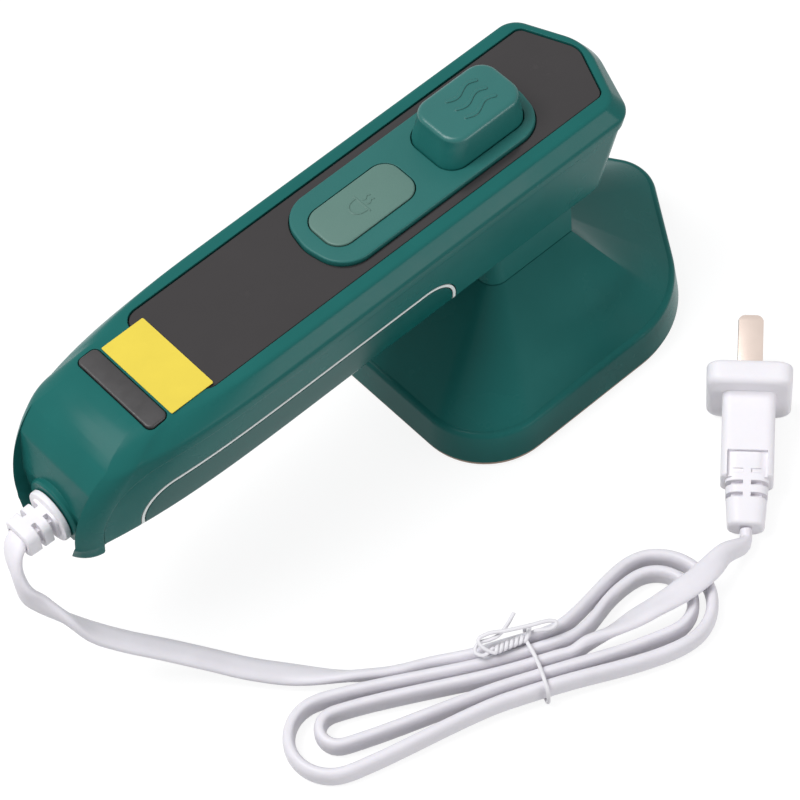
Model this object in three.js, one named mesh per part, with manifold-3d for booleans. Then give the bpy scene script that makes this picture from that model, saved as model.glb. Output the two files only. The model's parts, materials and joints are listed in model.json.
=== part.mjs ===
// Mini handheld steam iron. Millimetres, +X to the nose, +Y to the left, +Z up.
// The origin is on the working face of the soleplate, under the swivel axis.
import * as THREE from 'three';
import { mergeVertices } from 'three/addons/utils/BufferGeometryUtils.js';
import Module from 'manifold-3d';

const wasm = await Module();
wasm.setup();

// Sizes shared by many pieces
const gap = 0.3; // between pieces that touch
const overrun = 1; // how far a cutter runs past what it cuts
const wall = 2; // moulded housings

// Head: a home-plate outline, blunt nose forward
const head = {
  rearX: -40.6,
  halfWidth: 40.2,
  shoulderX: 32.2,
  noseX: 58.4,
  rearRadius: 20,
  shoulderRadius: 30,
  noseRadius: 13,
  skirtFloorZ: 1.5,
  rimZ: 12.3,
  rimDraft: 0.9,
  rimFillet: 1.6,
  topZ: 38,
  wall: 2,
  shieldThick: 2,
  postRearX: -20.8,
  postFrontX: 12,
  postInset: 8.5,
  screwTipZ: 16.5,
};

// Neck, moulded on the lower shell of the handle
const neck = {
  rearX: -13.6,
  frontX: 13.6,
  halfWidth: 17,
  rearRadius: 4.5,
  floorZ: head.topZ + gap,
  wall: 2,
};

// Handle
const handle = {
  bottomZ: 47,
  height: 31.7,
  roof: 3.2,
  edgeDrop: 5.1,
  partingDrop: 8.3,
  partingStep: 0.35,
  bottomFillet: 2,
  rimHalf: 18.6,
  edgeHalf: 21.5,
  partingHalf: 21.1,
  bottomHalf: 17.4,
  rearX: -142.6,
  rearTopX: -118,
  rearKneeRise: 3,
  rearRadiusLow: 8.8,
  rearRadiusTop: 13,
  rearHalfLoss: 4,
  taperFromX: -66,
  shoulderTopX: 27.5,
  shoulderEdgeX: 30.5,
  shoulderBottomX: 24,
  noseLength: 8.2,
  shoulderRadius: 6,
  noseRadius: 14,
  postFrontX: 21.5,
  postFrontY: 10,
  postRearX: -132.3,
  postRearY: 9.5,
};
const handleTop = handle.bottomZ + handle.height;
const edgeZ = handleTop - handle.edgeDrop;
const partingZ = handleTop - handle.partingDrop;
const kneeZ = handle.bottomZ + handle.rearKneeRise;
const rearCurvePowerShare = 2.3; // roundness of the rear top, 2 is an ellipse

// Rear recess between the cheeks, where the cord comes out
const recess = {
  half: 14.4,
  lowHalf: 10.4,
  frontX: -117.5,
  bendX: -127,
  bendDrop: 3.5,
  foldX: -134.6,
  foldDrop: 9.9,
  wallX: -137.2,
  lipZ: 58,
  bossX: -138.4,
  bossRadius: 8.8,
  bossZ: 52.2,
};

// Rear edge of the lower shell, seen from the side
const parting = {
  kneeX: -118,
  rearX: -137.8,
  depth: 17,
};

// Panel, bezel and buttons on top
const panel = {
  rearX: -100.9,
  shoulderX: 26.9,
  noseLength: 6.3,
  half: 15,
  rearRadius: 4,
  shoulderRadius: 2.5,
  noseRadius: 6,
  thick: 0.9,
  sink: 0.3,
};
const bezel = {
  rearX: -56.6,
  frontX: 13.1,
  half: 12.2,
  radius: 9,
  bow: 2.4,
  rise: 1.1,
  edge: 0.5,
};
const steamButton = {
  rearX: -17.2,
  frontX: 9.3,
  half: 8.7,
  topInset: 2.1,
  radius: 5,
  rise: 10,
  crown: 1.6,
  travel: 5,
  flange: 1.4,
};
const powerButton = {
  rearX: -51.9,
  frontX: -24.6,
  half: 6.7,
  radius: 4.6,
  rise: 0.35,
  edge: 0.4,
  travel: 1,
  flange: 1.2,
};
const label = {
  rearX: -109.9,
  frontX: -97.2,
  left: 11.6,
  right: -14.4,
  thick: 0.2,
};

// Water filler
const filler = {
  rearX: -116.5,
  frontX: -110.6,
  half: 13.5,
  centreY: -0.6,
  radius: 1.6,
  seatDepth: 1.2,
  capEdge: 0.3,
  capRise: 0.35,
  mouthX: 4.5,
  mouthHalf: 6.2,
  tubeWall: 1,
  plugInset: 0.45,
  plugDepth: 1.6,
  collarDepth: 3,
};

// Water tank in the underside
const tank = {
  rearX: -128.4,
  frontX: -27.5,
  seamZ: 59.6,
  cornerRadius: 9,
  wall: 1.6,
  gasketThick: 0.5,
  gasketWide: 1.6,
  lidThick: 1.4,
  portX: -42,
};

// Hand pump under the steam button
const pump = {
  x: -3.95,
  outletX: -1.6,
  belowRoof: 13.5,
  footThick: 2,
  footReach: 4,
  footHalf: 5.5,
  inletZ: 56,
  radius: 6.4,
  boreRadius: 4.6,
  rodRadius: 1.7,
  pistonRadius: 4.2,
  pistonThick: 2.5,
  pistonZ: 57.4,
  spigotRadius: 1.7,
  spigotLength: 2.2,
  portLength: 1.6,
  springRadius: 4.6,
  springWire: 0.45,
  springTurns: 5,
};

// Board with the power switch
const board = {
  rearX: -58,
  frontX: -20.5,
  half: 10.5,
  belowRoof: 6.9,
  thick: 1.6,
  switchSide: 6,
  switchHeight: 2.6,
  stemRadius: 1.7,
  lightRadius: 1.5,
  lightHeight: 3.5,
  lightX: -29,
  postRadius: 2,
  lightShoulderShare: 0.6,
  lightTipShare: 0.7,
  lightDomeShare: 0.9,
};

// Swivel between the neck and the head
const swivel = {
  radius: 9,
  boreRadius: 6.6,
  flangeRadius: 11.2,
  flangeThick: 2,
  reachBelow: 4.6,
  ringRadius: 11.2,
  ringThick: 1.3,
};

// Soleplate and heater
const sole = {
  edgeInset: 0.5,
  bevel: 1.3,
  edgeThick: 1.2,
  bodyInset: 3.2,
  thick: 3.8,
  holeRadius: 1.3,
  holeInset: 16,
  holeCount: 18,
  holeRearX: -14,
  ductHalf: 1.5,
  galleryDepth: 1.2,
  galleryHalf: 2,
};
const heater = {
  baseInset: 6,
  baseThick: 3.6,
  inset: 13,
  topZ: 14.5,
  chamberInset: 25,
  chamberDepth: 6,
  seatDepth: 2.2,
  ductY: 11,
  lidInset: 22.5,
  lidThick: 1.5,
  sealWide: 2.2,
  sealThick: 0.6,
  elementRadius: 3.1,
  elementInset: 17.4,
  elementRearX: -27,
  elementNoseRadius: 8,
  nozzleRadius: 3.4,
  nozzleBore: 2.6,
  nozzleHeight: 9,
  thermostatRadius: 7,
  thermostatHeight: 5,
  thermostatX: -12,
  fuseRadius: 2,
  fuseLength: 12,
  fuseX: 17,
  thermostatCapShare: 0.7,
};
const hose = {
  radius: 1.6,
  bend: 3,
  insertion: 3,
};

// Screws
const screw = {
  radius: 1.25,
  headRadius: 2.4,
  headThick: 1.4,
  driveRadius: 1,
  driveDepth: 0.8,
  sink: 2.4,
  tipZ: 68,
  bossRadius: 3.4,
};

// Cord gland at the rear
const gland = {
  flangeRadius: 7,
  flangeThick: 1.6,
  z: 51.7,
  endX: -149.2,
  bodyWide: 9.5,
  bodyHigh: 8.6,
  endWide: 9,
  endHigh: 8.1,
  tailX: -130.6,
  tailWide: 8,
  tailHigh: 7,
  socket: 4,
  slotWide: 1.1,
  slotDepth: 2.4,
  slotStart: 1.3,
  slotPitch: 3.6,
  slotReach: 3.2,
  slots: 2,
};

// Flat twin cord
const cord = {
  wide: 6.2,
  thick: 3.1,
  straight: 3.2,
  flatTurn: Math.PI / 2,
  sides: 8,
  leadSteps: 36,
  tailSteps: 18,
  hankSteps: 104,
};

// Hank: the cord wound twice round and tied in the middle
const hank = {
  x: -66.95,
  y: -88.3,
  tieTurn: THREE.MathUtils.degToRad(-24.8),
  tieHalf: 5,
  tieZ: 5,
  restZ: 3.3,
  pitch: 3.6,
  lead: 9,
  legSteps: 7,
  arcSteps: 10,
  selfSkip: 20,
  lengthSamples: 12,
  loops: [
    {
      fromLane: 0, toLane: 4, side: 1, distance: 34.7, radius: 13.5,
      turn: THREE.MathUtils.degToRad(-12.2), sweep: THREE.MathUtils.degToRad(72), reachShare: 0.26,
    },
    {
      fromLane: 4, toLane: 1, side: -1, distance: 52.4, radius: 10.6,
      turn: THREE.MathUtils.degToRad(157.8), sweep: THREE.MathUtils.degToRad(92), reachShare: 0.28,
    },
    {
      fromLane: 1, toLane: 3, side: 1, distance: 34.4, radius: 9,
      turn: THREE.MathUtils.degToRad(-12.4), sweep: THREE.MathUtils.degToRad(95), reachShare: 0.4,
    },
    {
      fromLane: 3, toLane: 2, side: -1, distance: 50.3, radius: 4.6,
      turn: THREE.MathUtils.degToRad(156.2), sweep: THREE.MathUtils.degToRad(88), reachShare: 0.24,
    },
  ],
};
const tie = {
  radius: 0.55,
  helix: 0.9,
  length: 12,
  leanShare: 0.3,
  twists: 2.5,
  twistSteps: 16,
  steps: 76,
};

// Two-blade plug on the end of the cord
const plug = {
  x: -2.8,
  y: -95.9,
  z: 4.8,
  turn: THREE.MathUtils.degToRad(43.8),
  tilt: THREE.MathUtils.degToRad(13.4),
  endWide: 9.4,
  endHigh: 9.4,
  endRadius: 3.2,
  reliefWide: 11,
  reliefHigh: 10.4,
  reliefEndX: 12.4,
  bodyWide: 13.3,
  bodyHigh: 12,
  bodyRadius: 2.4,
  bodyEndX: 20,
  faceX: 38.9,
  flangeThick: 4.7,
  flangeWide: 21.5,
  flangeHigh: 25.7,
  flangeRadius: 3.6,
  edge: 1,
  slots: 3,
  slotX: 3.6,
  slotPitch: 3.2,
  slotWide: 1.1,
  webHalf: 1,
  coreHalf: 3,
  bladePitch: 12.7,
  bladeWide: 6.35,
  bladeThick: 1.5,
  bladeLength: 16,
  bladeSeat: 6,
};

const neckAlongShare = 0.72; // of the neck's side lies against the straight side of the head
const neckFrontShare = 0.72; // of half the neck's front lies against the shoulder arc
const glandCornerShare = 0.28;
const corner = 6; // steps round a corner
const ringSteps = 24; // steps round a bore or a pin

// Colours and finishes
const finishes = {
  green: { color: 0x0f5c50, roughness: 0.28, metalness: 0 },
  panelBlack: { color: 0x3a3637, roughness: 0.18, metalness: 0 },
  button: { color: 0x0f5f53, roughness: 0.35, metalness: 0 },
  paleButton: { color: 0x5f8a7e, roughness: 0.45, metalness: 0 },
  rubber: { color: 0x2c2b2c, roughness: 0.75, metalness: 0 },
  label: { color: 0xf2d23a, roughness: 0.6, metalness: 0 },
  white: { color: 0xe4e0e6, roughness: 0.5, metalness: 0 },
  whiteSeal: { color: 0xf4f4f2, roughness: 0.5, metalness: 0 },
  innerPlastic: { color: 0xcfcfc8, roughness: 0.6, metalness: 0 },
  board: { color: 0x3f6b3a, roughness: 0.6, metalness: 0 },
  aluminium: { color: 0xa9a9aa, roughness: 0.4, metalness: 1 },
  castAluminium: { color: 0x8f8f90, roughness: 0.6, metalness: 1 },
  steel: { color: 0x9a9a9a, roughness: 0.35, metalness: 1 },
  brass: { color: 0xc9b27c, roughness: 0.35, metalness: 1 },
  ceramic: { color: 0xe8e4da, roughness: 0.7, metalness: 0 },
  light: { color: 0xd8452e, roughness: 0.3, metalness: 0 },
};

const object = new THREE.Group();
object.name = 'mini_steam_iron';

// Mesh and solid helpers
function solidOf(geometry) {
  const plain = new THREE.BufferGeometry();
  plain.setAttribute('position', geometry.getAttribute('position').clone());
  if (geometry.index) {
    plain.setIndex(geometry.index.clone());
  }
  const merged = mergeVertices(plain, 1e-5);
  const kept = [];
  const all = merged.index.array;
  for (let i = 0; i < all.length; i += 3) {
    const [a, b, c] = all.subarray(i, i + 3);
    if (a !== b && b !== c && c !== a) {
      kept.push(a, b, c);
    }
  }
  const mesh = new wasm.Mesh({
    numProp: 3,
    vertProperties: new Float32Array(merged.getAttribute('position').array),
    triVerts: new Uint32Array(kept),
  });
  const solid = new wasm.Manifold(mesh);
  if (solid.volume() < 0) {
    throw new Error('a solid is inside out');
  }
  return solid;
}

function geometryOf(solid) {
  const mesh = solid.getMesh();
  const geometry = new THREE.BufferGeometry();
  const stride = mesh.numProp;
  const positions = new Float32Array(mesh.vertProperties.length / stride * 3);
  for (let i = 0; i < positions.length / 3; i += 1) {
    positions.set(mesh.vertProperties.subarray(i * stride, i * stride + 3), i * 3);
  }
  geometry.setAttribute('position', new THREE.BufferAttribute(positions, 3));
  geometry.setIndex(new THREE.BufferAttribute(new Uint32Array(mesh.triVerts), 1));
  geometry.computeVertexNormals();
  return geometry;
}

function cut(solid, ...tools) {
  return tools.reduce((rest, tool) => rest.subtract(tool), solid);
}

function join(solid, ...others) {
  return others.reduce((sum, other) => sum.add(other), solid);
}

function place(name, shape, finish, parent = object) {
  const geometry = shape.isBufferGeometry ? shape : geometryOf(shape);
  const mesh = new THREE.Mesh(geometry, new THREE.MeshStandardMaterial(finish));
  mesh.name = name;
  parent.add(mesh);
  return mesh;
}

// Outlines in plan are lists of Vector2 and run anticlockwise.
// corners holds [x, y, radius, steps]; each corner becomes an arc.
function rounded(corners) {
  const points = [];
  corners.forEach(([x, y, radius, steps], i) => {
    const here = new THREE.Vector2(x, y);
    const last = corners[(i + corners.length - 1) % corners.length];
    const next = corners[(i + 1) % corners.length];
    const back = new THREE.Vector2(last[0], last[1]).sub(here).normalize();
    const on = new THREE.Vector2(next[0], next[1]).sub(here).normalize();
    const half = Math.acos(THREE.MathUtils.clamp(back.dot(on), -1, 1)) / 2;
    const middle = back.clone().add(on).normalize().multiplyScalar(radius / Math.sin(half));
    const centre = here.clone().add(middle);
    const from = here.clone().addScaledVector(back, radius / Math.tan(half)).sub(centre);
    const turn = Math.PI - 2 * half;
    for (let k = 0; k <= steps; k += 1) {
      points.push(from.clone().rotateAround(new THREE.Vector2(), turn * k / steps).add(centre));
    }
  });
  return points;
}

// Moves the edges of a convex corner list inwards and shrinks the radii.
function inset(corners, distance) {
  const least = gap / 2;
  return corners.map(([x, y, radius, steps], i) => {
    const here = new THREE.Vector2(x, y);
    const last = corners[(i + corners.length - 1) % corners.length];
    const next = corners[(i + 1) % corners.length];
    const back = new THREE.Vector2(last[0], last[1]).sub(here).normalize();
    const on = new THREE.Vector2(next[0], next[1]).sub(here).normalize();
    const half = Math.acos(THREE.MathUtils.clamp(back.dot(on), -1, 1)) / 2;
    here.addScaledVector(back.add(on).normalize(), distance / Math.sin(half));
    return [here.x, here.y, Math.max(radius - distance, least), steps];
  });
}

function rectangle(rearX, frontX, half, radius, steps = corner, centreY = 0) {
  return [
    [rearX, centreY - half, radius, steps],
    [frontX, centreY - half, radius, steps],
    [frontX, centreY + half, radius, steps],
    [rearX, centreY + half, radius, steps],
  ];
}

function shapeOf(points, holes = []) {
  const shape = new THREE.Shape(points);
  shape.holes = holes.map((hole) => new THREE.Path(hole.slice().reverse()));
  return shape;
}

// A plan outline raised from one height to another
function prism(points, fromZ, toZ, holes = []) {
  const settings = { depth: toZ - fromZ, bevelEnabled: false };
  const geometry = new THREE.ExtrudeGeometry(shapeOf(points, holes), settings);
  geometry.translate(0, 0, fromZ);
  return solidOf(geometry);
}

// A side outline of [x, z] points, carried across the width
function sidePrism(points, half, centreY = 0) {
  const shape = new THREE.Shape(points.map(([x, z]) => new THREE.Vector2(x, z)));
  const geometry = new THREE.ExtrudeGeometry(shape, { depth: 2 * half, bevelEnabled: false });
  geometry.rotateX(Math.PI / 2);
  geometry.translate(0, half + centreY, 0);
  return solidOf(geometry);
}

// Rings of Vector3 with equal counts, skinned in order and capped with fans
function loftGeometry(rings) {
  const count = rings[0].length;
  const positions = [];
  const index = [];
  rings.forEach((ring) => ring.forEach((point) => positions.push(point.x, point.y, point.z)));
  for (let r = 0; r < rings.length - 1; r += 1) {
    for (let i = 0; i < count; i += 1) {
      const a = r * count + i;
      const b = r * count + (i + 1) % count;
      index.push(a, b, b + count);
      index.push(a, b + count, a + count);
    }
  }
  [0, rings.length - 1].forEach((r) => {
    const middle = new THREE.Vector3();
    rings[r].forEach((point) => middle.addScaledVector(point, 1 / count));
    const hub = positions.length / 3;
    positions.push(middle.x, middle.y, middle.z);
    for (let i = 0; i < count; i += 1) {
      const a = r * count + i;
      const b = r * count + (i + 1) % count;
      index.push(...(r === 0 ? [b, a, hub] : [a, b, hub]));
    }
  });
  const geometry = new THREE.BufferGeometry();
  geometry.setAttribute('position', new THREE.Float32BufferAttribute(positions, 3));
  geometry.setIndex(index);
  return geometry;
}

function loft(rings) {
  return solidOf(loftGeometry(rings));
}

function ringAt(points, z) {
  return points.map((point) => new THREE.Vector3(point.x, point.y, z));
}

// A turned piece about a vertical axis; profile holds [radius, z] from the axis up and back
function turned(profile, x = 0, y = 0, steps = ringSteps) {
  const geometry = new THREE.LatheGeometry(profile.map(([r, z]) => new THREE.Vector2(r, z)), steps);
  geometry.rotateX(Math.PI / 2);
  geometry.translate(x, y, 0);
  return solidOf(geometry);
}

function pin(radius, fromZ, toZ, x = 0, y = 0, steps = ringSteps) {
  return turned([[0, fromZ], [radius, fromZ], [radius, toZ], [0, toZ]], x, y, steps);
}

function sleeve(radius, bore, fromZ, toZ, x = 0, y = 0, steps = ringSteps) {
  const profile = [[bore, fromZ], [radius, fromZ], [radius, toZ], [bore, toZ], [bore, fromZ]];
  return turned(profile, x, y, steps);
}

// A round rod along a curve
function rod(curve, radius, steps, sides) {
  const section = new THREE.Shape();
  for (let i = 0; i < sides; i += 1) {
    const turn = 2 * Math.PI * i / sides;
    const x = radius * Math.cos(turn);
    const y = radius * Math.sin(turn);
    if (i === 0) {
      section.moveTo(x, y);
    } else {
      section.lineTo(x, y);
    }
  }
  section.closePath();
  return new THREE.ExtrudeGeometry(section, { steps, extrudePath: curve, bevelEnabled: false });
}

function curveThrough(points) {
  return new THREE.CatmullRomCurve3(points.map(([x, y, z]) => new THREE.Vector3(x, y, z)));
}

function mix(from, to, share) {
  return from + (to - from) * share;
}

// Head outline, a pentagon with a square rear and a blunt nose
function headCorners(distance = 0) {
  const base = [
    [head.rearX, -head.halfWidth, head.rearRadius, corner],
    [head.shoulderX, -head.halfWidth, head.shoulderRadius, corner],
    [head.noseX, 0, head.noseRadius, corner],
    [head.shoulderX, head.halfWidth, head.shoulderRadius, corner],
    [head.rearX, head.halfWidth, head.rearRadius, corner],
  ];
  return inset(base, distance);
}

function headPoints(distance) {
  return rounded(headCorners(distance));
}

// The neck ring has a point for each point of the head ring. Its rear corners answer the
// rear corners, and its sharp front corners answer the middles of the shoulder arcs.
function neckRing(distance, z) {
  const rearX = neck.rearX + distance;
  const frontX = neck.frontX - distance;
  const half = neck.halfWidth - distance;
  const radius = Math.max(neck.rearRadius - distance, gap);
  const arcHalf = corner / 2;
  const right = [];
  for (let k = 0; k <= corner; k += 1) {
    const turn = Math.PI / 2 * k / corner;
    const x = rearX + radius - radius * Math.cos(turn);
    right.push([x, -half + radius - radius * Math.sin(turn)]);
  }
  for (let k = 0; k < arcHalf; k += 1) {
    const share = mix(neckAlongShare, 1, k / arcHalf);
    right.push([mix(rearX + radius, frontX, share), -half]);
  }
  for (let k = 0; k <= arcHalf; k += 1) {
    right.push([frontX, -half * (1 - neckFrontShare * k / arcHalf)]);
  }
  for (let k = 0; k < arcHalf; k += 1) {
    right.push([frontX, -half * (1 - neckFrontShare) * (1 - (k + 1) / (arcHalf + 1))]);
  }
  const ring = right.map(([x, y]) => new THREE.Vector3(x, y, z));
  ring.push(new THREE.Vector3(frontX, 0, z));
  right.slice().reverse().forEach(([x, y]) => ring.push(new THREE.Vector3(x, -y, z)));
  return ring;
}

// Skirt of the head: a drafted rim, a fillet and a roof that narrows to the neck
function headForm(distance) {
  const filletShares = [0, 0.4, 1];
  const floorZ = head.skirtFloorZ - (distance > 0 ? overrun : 0);
  const rings = [ringAt(headPoints(distance), floorZ)];
  filletShares.forEach((share) => {
    const turn = share * Math.PI / 2;
    const side = head.rimDraft + head.rimFillet * (1 - Math.cos(turn));
    const rise = head.rimFillet * Math.sin(turn);
    rings.push(ringAt(headPoints(side + distance), head.rimZ - head.rimFillet + rise - distance));
  });
  rings.push(neckRing(distance, head.topZ - distance));
  return loft(rings);
}

// Handle: level outlines from the underside to the top
function rearAt(z) {
  const rise = (z - kneeZ) / (handleTop - kneeZ);
  const share = THREE.MathUtils.clamp(rise, 0, 1);
  const fall = 1 - (1 - share ** rearCurvePowerShare) ** (1 / rearCurvePowerShare);
  return mix(handle.rearX, handle.rearTopX, fall);
}

function shoulderAt(z) {
  if (z < edgeZ) {
    const share = (z - handle.bottomZ) / (edgeZ - handle.bottomZ);
    return mix(handle.shoulderBottomX, handle.shoulderEdgeX, Math.max(share, 0));
  }
  const share = (z - edgeZ) / (handleTop - edgeZ);
  return mix(handle.shoulderEdgeX, handle.shoulderTopX, share);
}

function halfAt(z) {
  const levels = [
    [handle.bottomZ, handle.bottomHalf - handle.bottomFillet],
    [handle.bottomZ + handle.bottomFillet, handle.bottomHalf],
    [partingZ, handle.partingHalf],
    [edgeZ, handle.edgeHalf],
    [handleTop, handle.rimHalf],
  ];
  for (let i = 1; i < levels.length; i += 1) {
    if (z <= levels[i][0]) {
      const share = (z - levels[i - 1][0]) / (levels[i][0] - levels[i - 1][0]);
      return mix(levels[i - 1][1], levels[i][1], Math.max(share, 0));
    }
  }
  return handle.rimHalf;
}

// The outline narrows towards the rear along a square law, then turns round the rear corner.
function handleOutline(z, distance) {
  const half = halfAt(z) - distance;
  const rearX = rearAt(z) + distance;
  const shoulderX = shoulderAt(z) - distance;
  const noseX = shoulderX + handle.noseLength;
  const loss = handle.rearHalfLoss;
  const rise = (z - handle.bottomZ) / (handleTop - handle.bottomZ);
  const radius = mix(handle.rearRadiusLow, handle.rearRadiusTop, rise ** 2) - distance;
  const taperEnd = rearX + radius;
  const taperSteps = 5;
  const right = [];
  for (let k = 0; k <= corner; k += 1) {
    const turn = Math.PI / 2 * k / corner;
    const x = rearX + radius * (1 - Math.cos(turn));
    right.push([x, -(half - loss) + radius * (1 - Math.sin(turn))]);
  }
  for (let k = 1; k <= taperSteps; k += 1) {
    const share = k / taperSteps;
    const x = mix(taperEnd, handle.taperFromX, share);
    right.push([x, -(half - loss * (1 - share) ** 2)]);
  }
  const front = rounded([
    [handle.taperFromX, half, gap, 1],
    [handle.taperFromX, -half, gap, 1],
    [shoulderX, -half, handle.shoulderRadius, corner],
    [noseX, 0, handle.noseRadius, corner],
    [shoulderX, half, handle.shoulderRadius, corner],
  ]);
  const frontSkipCount = 4;
  const apex = frontSkipCount + corner + 1 + corner / 2;
  front.slice(frontSkipCount, apex).forEach((point) => right.push([point.x, point.y]));
  const ring = right.map(([x, y]) => new THREE.Vector3(x, y, z));
  ring.push(new THREE.Vector3(front[apex].x, 0, z));
  right.slice().reverse().forEach(([x, y]) => ring.push(new THREE.Vector3(x, -y, z)));
  return ring;
}

// The handle's outside moved in by a distance, with its top moved down by another
function handleForm(distance, down = distance) {
  const sideShares = [0.25, 0.5, 0.75];
  const topShares = [0.35, 0.65, 0.85];
  const heights = [handle.bottomZ + handle.bottomFillet];
  sideShares.forEach((share) => heights.push(mix(handle.bottomZ, partingZ, share)));
  heights.push(partingZ);
  heights.push(edgeZ);
  topShares.forEach((share) => heights.push(mix(edgeZ, handleTop, share)));
  const low = handle.bottomZ + distance;
  const high = handleTop - down;
  const kept = heights.filter((z) => z > low + gap && z < high - gap / 2);
  return loft([low, ...kept, high].map((z) => handleOutline(z, distance)));
}

// Everything above and behind the edge of the lower shell
function abovePartingLine(lower) {
  const steps = 6;
  const frontX = handle.shoulderEdgeX + handle.noseLength + overrun;
  const points = [[frontX, partingZ - lower]];
  for (let k = 0; k <= steps; k += 1) {
    const turn = Math.PI / 2 * k / steps;
    const x = mix(parting.kneeX, parting.rearX, Math.sin(turn)) + lower;
    points.push([x, partingZ - lower - parting.depth * (1 - Math.cos(turn))]);
  }
  points.push([parting.rearX + lower, handle.bottomZ - overrun]);
  points.push([handle.rearX - overrun, handle.bottomZ - overrun]);
  points.push([handle.rearX - overrun, handleTop + overrun]);
  points.push([frontX, handleTop + overrun]);
  return sidePrism(points.reverse(), handle.edgeHalf + overrun);
}

// The recess wall belongs to the upper shell down to the underside.
function upperRegion(distance) {
  return join(abovePartingLine(distance), recessForm(wall + distance));
}

// The hollow between the cheeks, moved in by a distance
function recessForm(distance) {
  const points = [
    [recess.frontX, handleTop + overrun],
    [recess.frontX + distance, handleTop - distance],
    [recess.bendX + distance, handleTop - recess.bendDrop - distance],
    [recess.foldX + distance, handleTop - recess.foldDrop - distance],
    [recess.wallX + distance, recess.lipZ],
    [recess.wallX + distance, handle.bottomZ - overrun],
    [handle.rearX - overrun, handle.bottomZ - overrun],
    [handle.rearX - overrun, handleTop + overrun],
  ];
  const side = sidePrism(points.reverse(), handle.edgeHalf);
  const low = handle.bottomZ - 2 * overrun;
  const high = handleTop + 2 * overrun;
  const level = (half, z) => ringAt(rounded(rectangle(
    handle.rearX - 2 * overrun,
    recess.frontX + handle.edgeHalf,
    half + distance,
    gap,
    1,
  )), z);
  return side.intersect(loft([level(recess.lowHalf, low), level(recess.half, high)]));
}

// The space of the tank in side view, grown by a distance
function tankRegion(distance) {
  const rearX = tank.rearX - distance;
  const frontX = tank.frontX + distance;
  const topZ = tank.seamZ + distance;
  const lowZ = handle.bottomZ - overrun;
  const radius = tank.cornerRadius + distance;
  const steps = corner;
  const points = [[rearX, lowZ], [frontX, lowZ]];
  for (let k = 0; k <= steps; k += 1) {
    const turn = Math.PI / 2 * k / steps;
    const x = frontX - radius * (1 - Math.cos(turn));
    points.push([x, topZ - radius * (1 - Math.sin(turn))]);
  }
  for (let k = 0; k <= steps; k += 1) {
    const turn = Math.PI / 2 * k / steps;
    const x = rearX + radius * (1 - Math.sin(turn));
    points.push([x, topZ - radius * (1 - Math.cos(turn))]);
  }
  return sidePrism(points, handle.edgeHalf + overrun);
}

function neckBlock(distance, fromZ, toZ) {
  return loft([neckRing(distance, fromZ), neckRing(distance, toZ)]);
}

function bezelCorners(distance) {
  const rearX = bezel.rearX;
  const frontX = bezel.frontX;
  const half = bezel.half;
  return inset([
    [rearX + bezel.bow, -half, bezel.radius, corner],
    [frontX - bezel.bow, -half, bezel.radius, corner],
    [frontX, 0, half, 2],
    [frontX - bezel.bow, half, bezel.radius, corner],
    [rearX + bezel.bow, half, bezel.radius, corner],
    [rearX, 0, half, 2],
  ], distance);
}

function panelCorners(distance) {
  return inset([
    [panel.rearX, -panel.half, panel.rearRadius, corner],
    [panel.shoulderX, -panel.half, panel.shoulderRadius, corner],
    [panel.shoulderX + panel.noseLength, 0, panel.noseRadius, corner],
    [panel.shoulderX, panel.half, panel.shoulderRadius, corner],
    [panel.rearX, panel.half, panel.rearRadius, corner],
  ], distance);
}

function steamCorners(distance) {
  const { rearX, frontX, half, radius } = steamButton;
  return inset(rectangle(rearX, frontX, half, radius), distance);
}

function powerCorners(distance) {
  const { rearX, frontX, half, radius } = powerButton;
  return inset(rectangle(rearX, frontX, half, radius), distance);
}

function fillerCorners(distance) {
  const { rearX, frontX, half, radius, centreY } = filler;
  return inset(rectangle(rearX, frontX, half, radius, 3, centreY), distance);
}

function mouthCorners(distance) {
  const middleX = (filler.rearX + filler.frontX) / 2;
  const halfX = filler.mouthX / 2;
  const radius = gap * 2;
  const { mouthHalf, centreY } = filler;
  return inset(rectangle(middleX - halfX, middleX + halfX, mouthHalf, radius, 2, centreY), distance);
}

// Places worked out from the sizes above
const skinTop = handleTop - panel.sink - panel.thick - gap; // floor of the panel's seat
const roofUnder = handleTop - handle.roof; // underside of the upper shell's roof
const boardTop = roofUnder - board.belowRoof;
const pumpTop = roofUnder - pump.belowRoof;
const bezelTop = handleTop + bezel.rise;
const floorTop = handle.bottomZ + handle.partingStep + wall; // inside floor of the lower shell
const postSplitZ = tank.seamZ + gap; // where the posts of the two shells meet
const postPlaces = [
  [handle.postFrontX, handle.postFrontY],
  [handle.postFrontX, -handle.postFrontY],
  [handle.postRearX, handle.postRearY],
  [handle.postRearX, -handle.postRearY],
];
const boardPlaces = [
  [board.rearX + 2 * board.postRadius, board.half - board.postRadius],
  [board.rearX + 2 * board.postRadius, -board.half + board.postRadius],
  [board.frontX - 2 * board.postRadius, board.half - board.postRadius],
  [board.frontX - 2 * board.postRadius, -board.half + board.postRadius],
];
const fillerMiddleX = (filler.rearX + filler.frontX) / 2;

const outside = handleForm(0);
const lowerOutside = handleForm(handle.partingStep, 0);
const room = handleForm(wall + handle.partingStep, handle.roof);
const cavity = cut(room, recessForm(wall));

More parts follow.
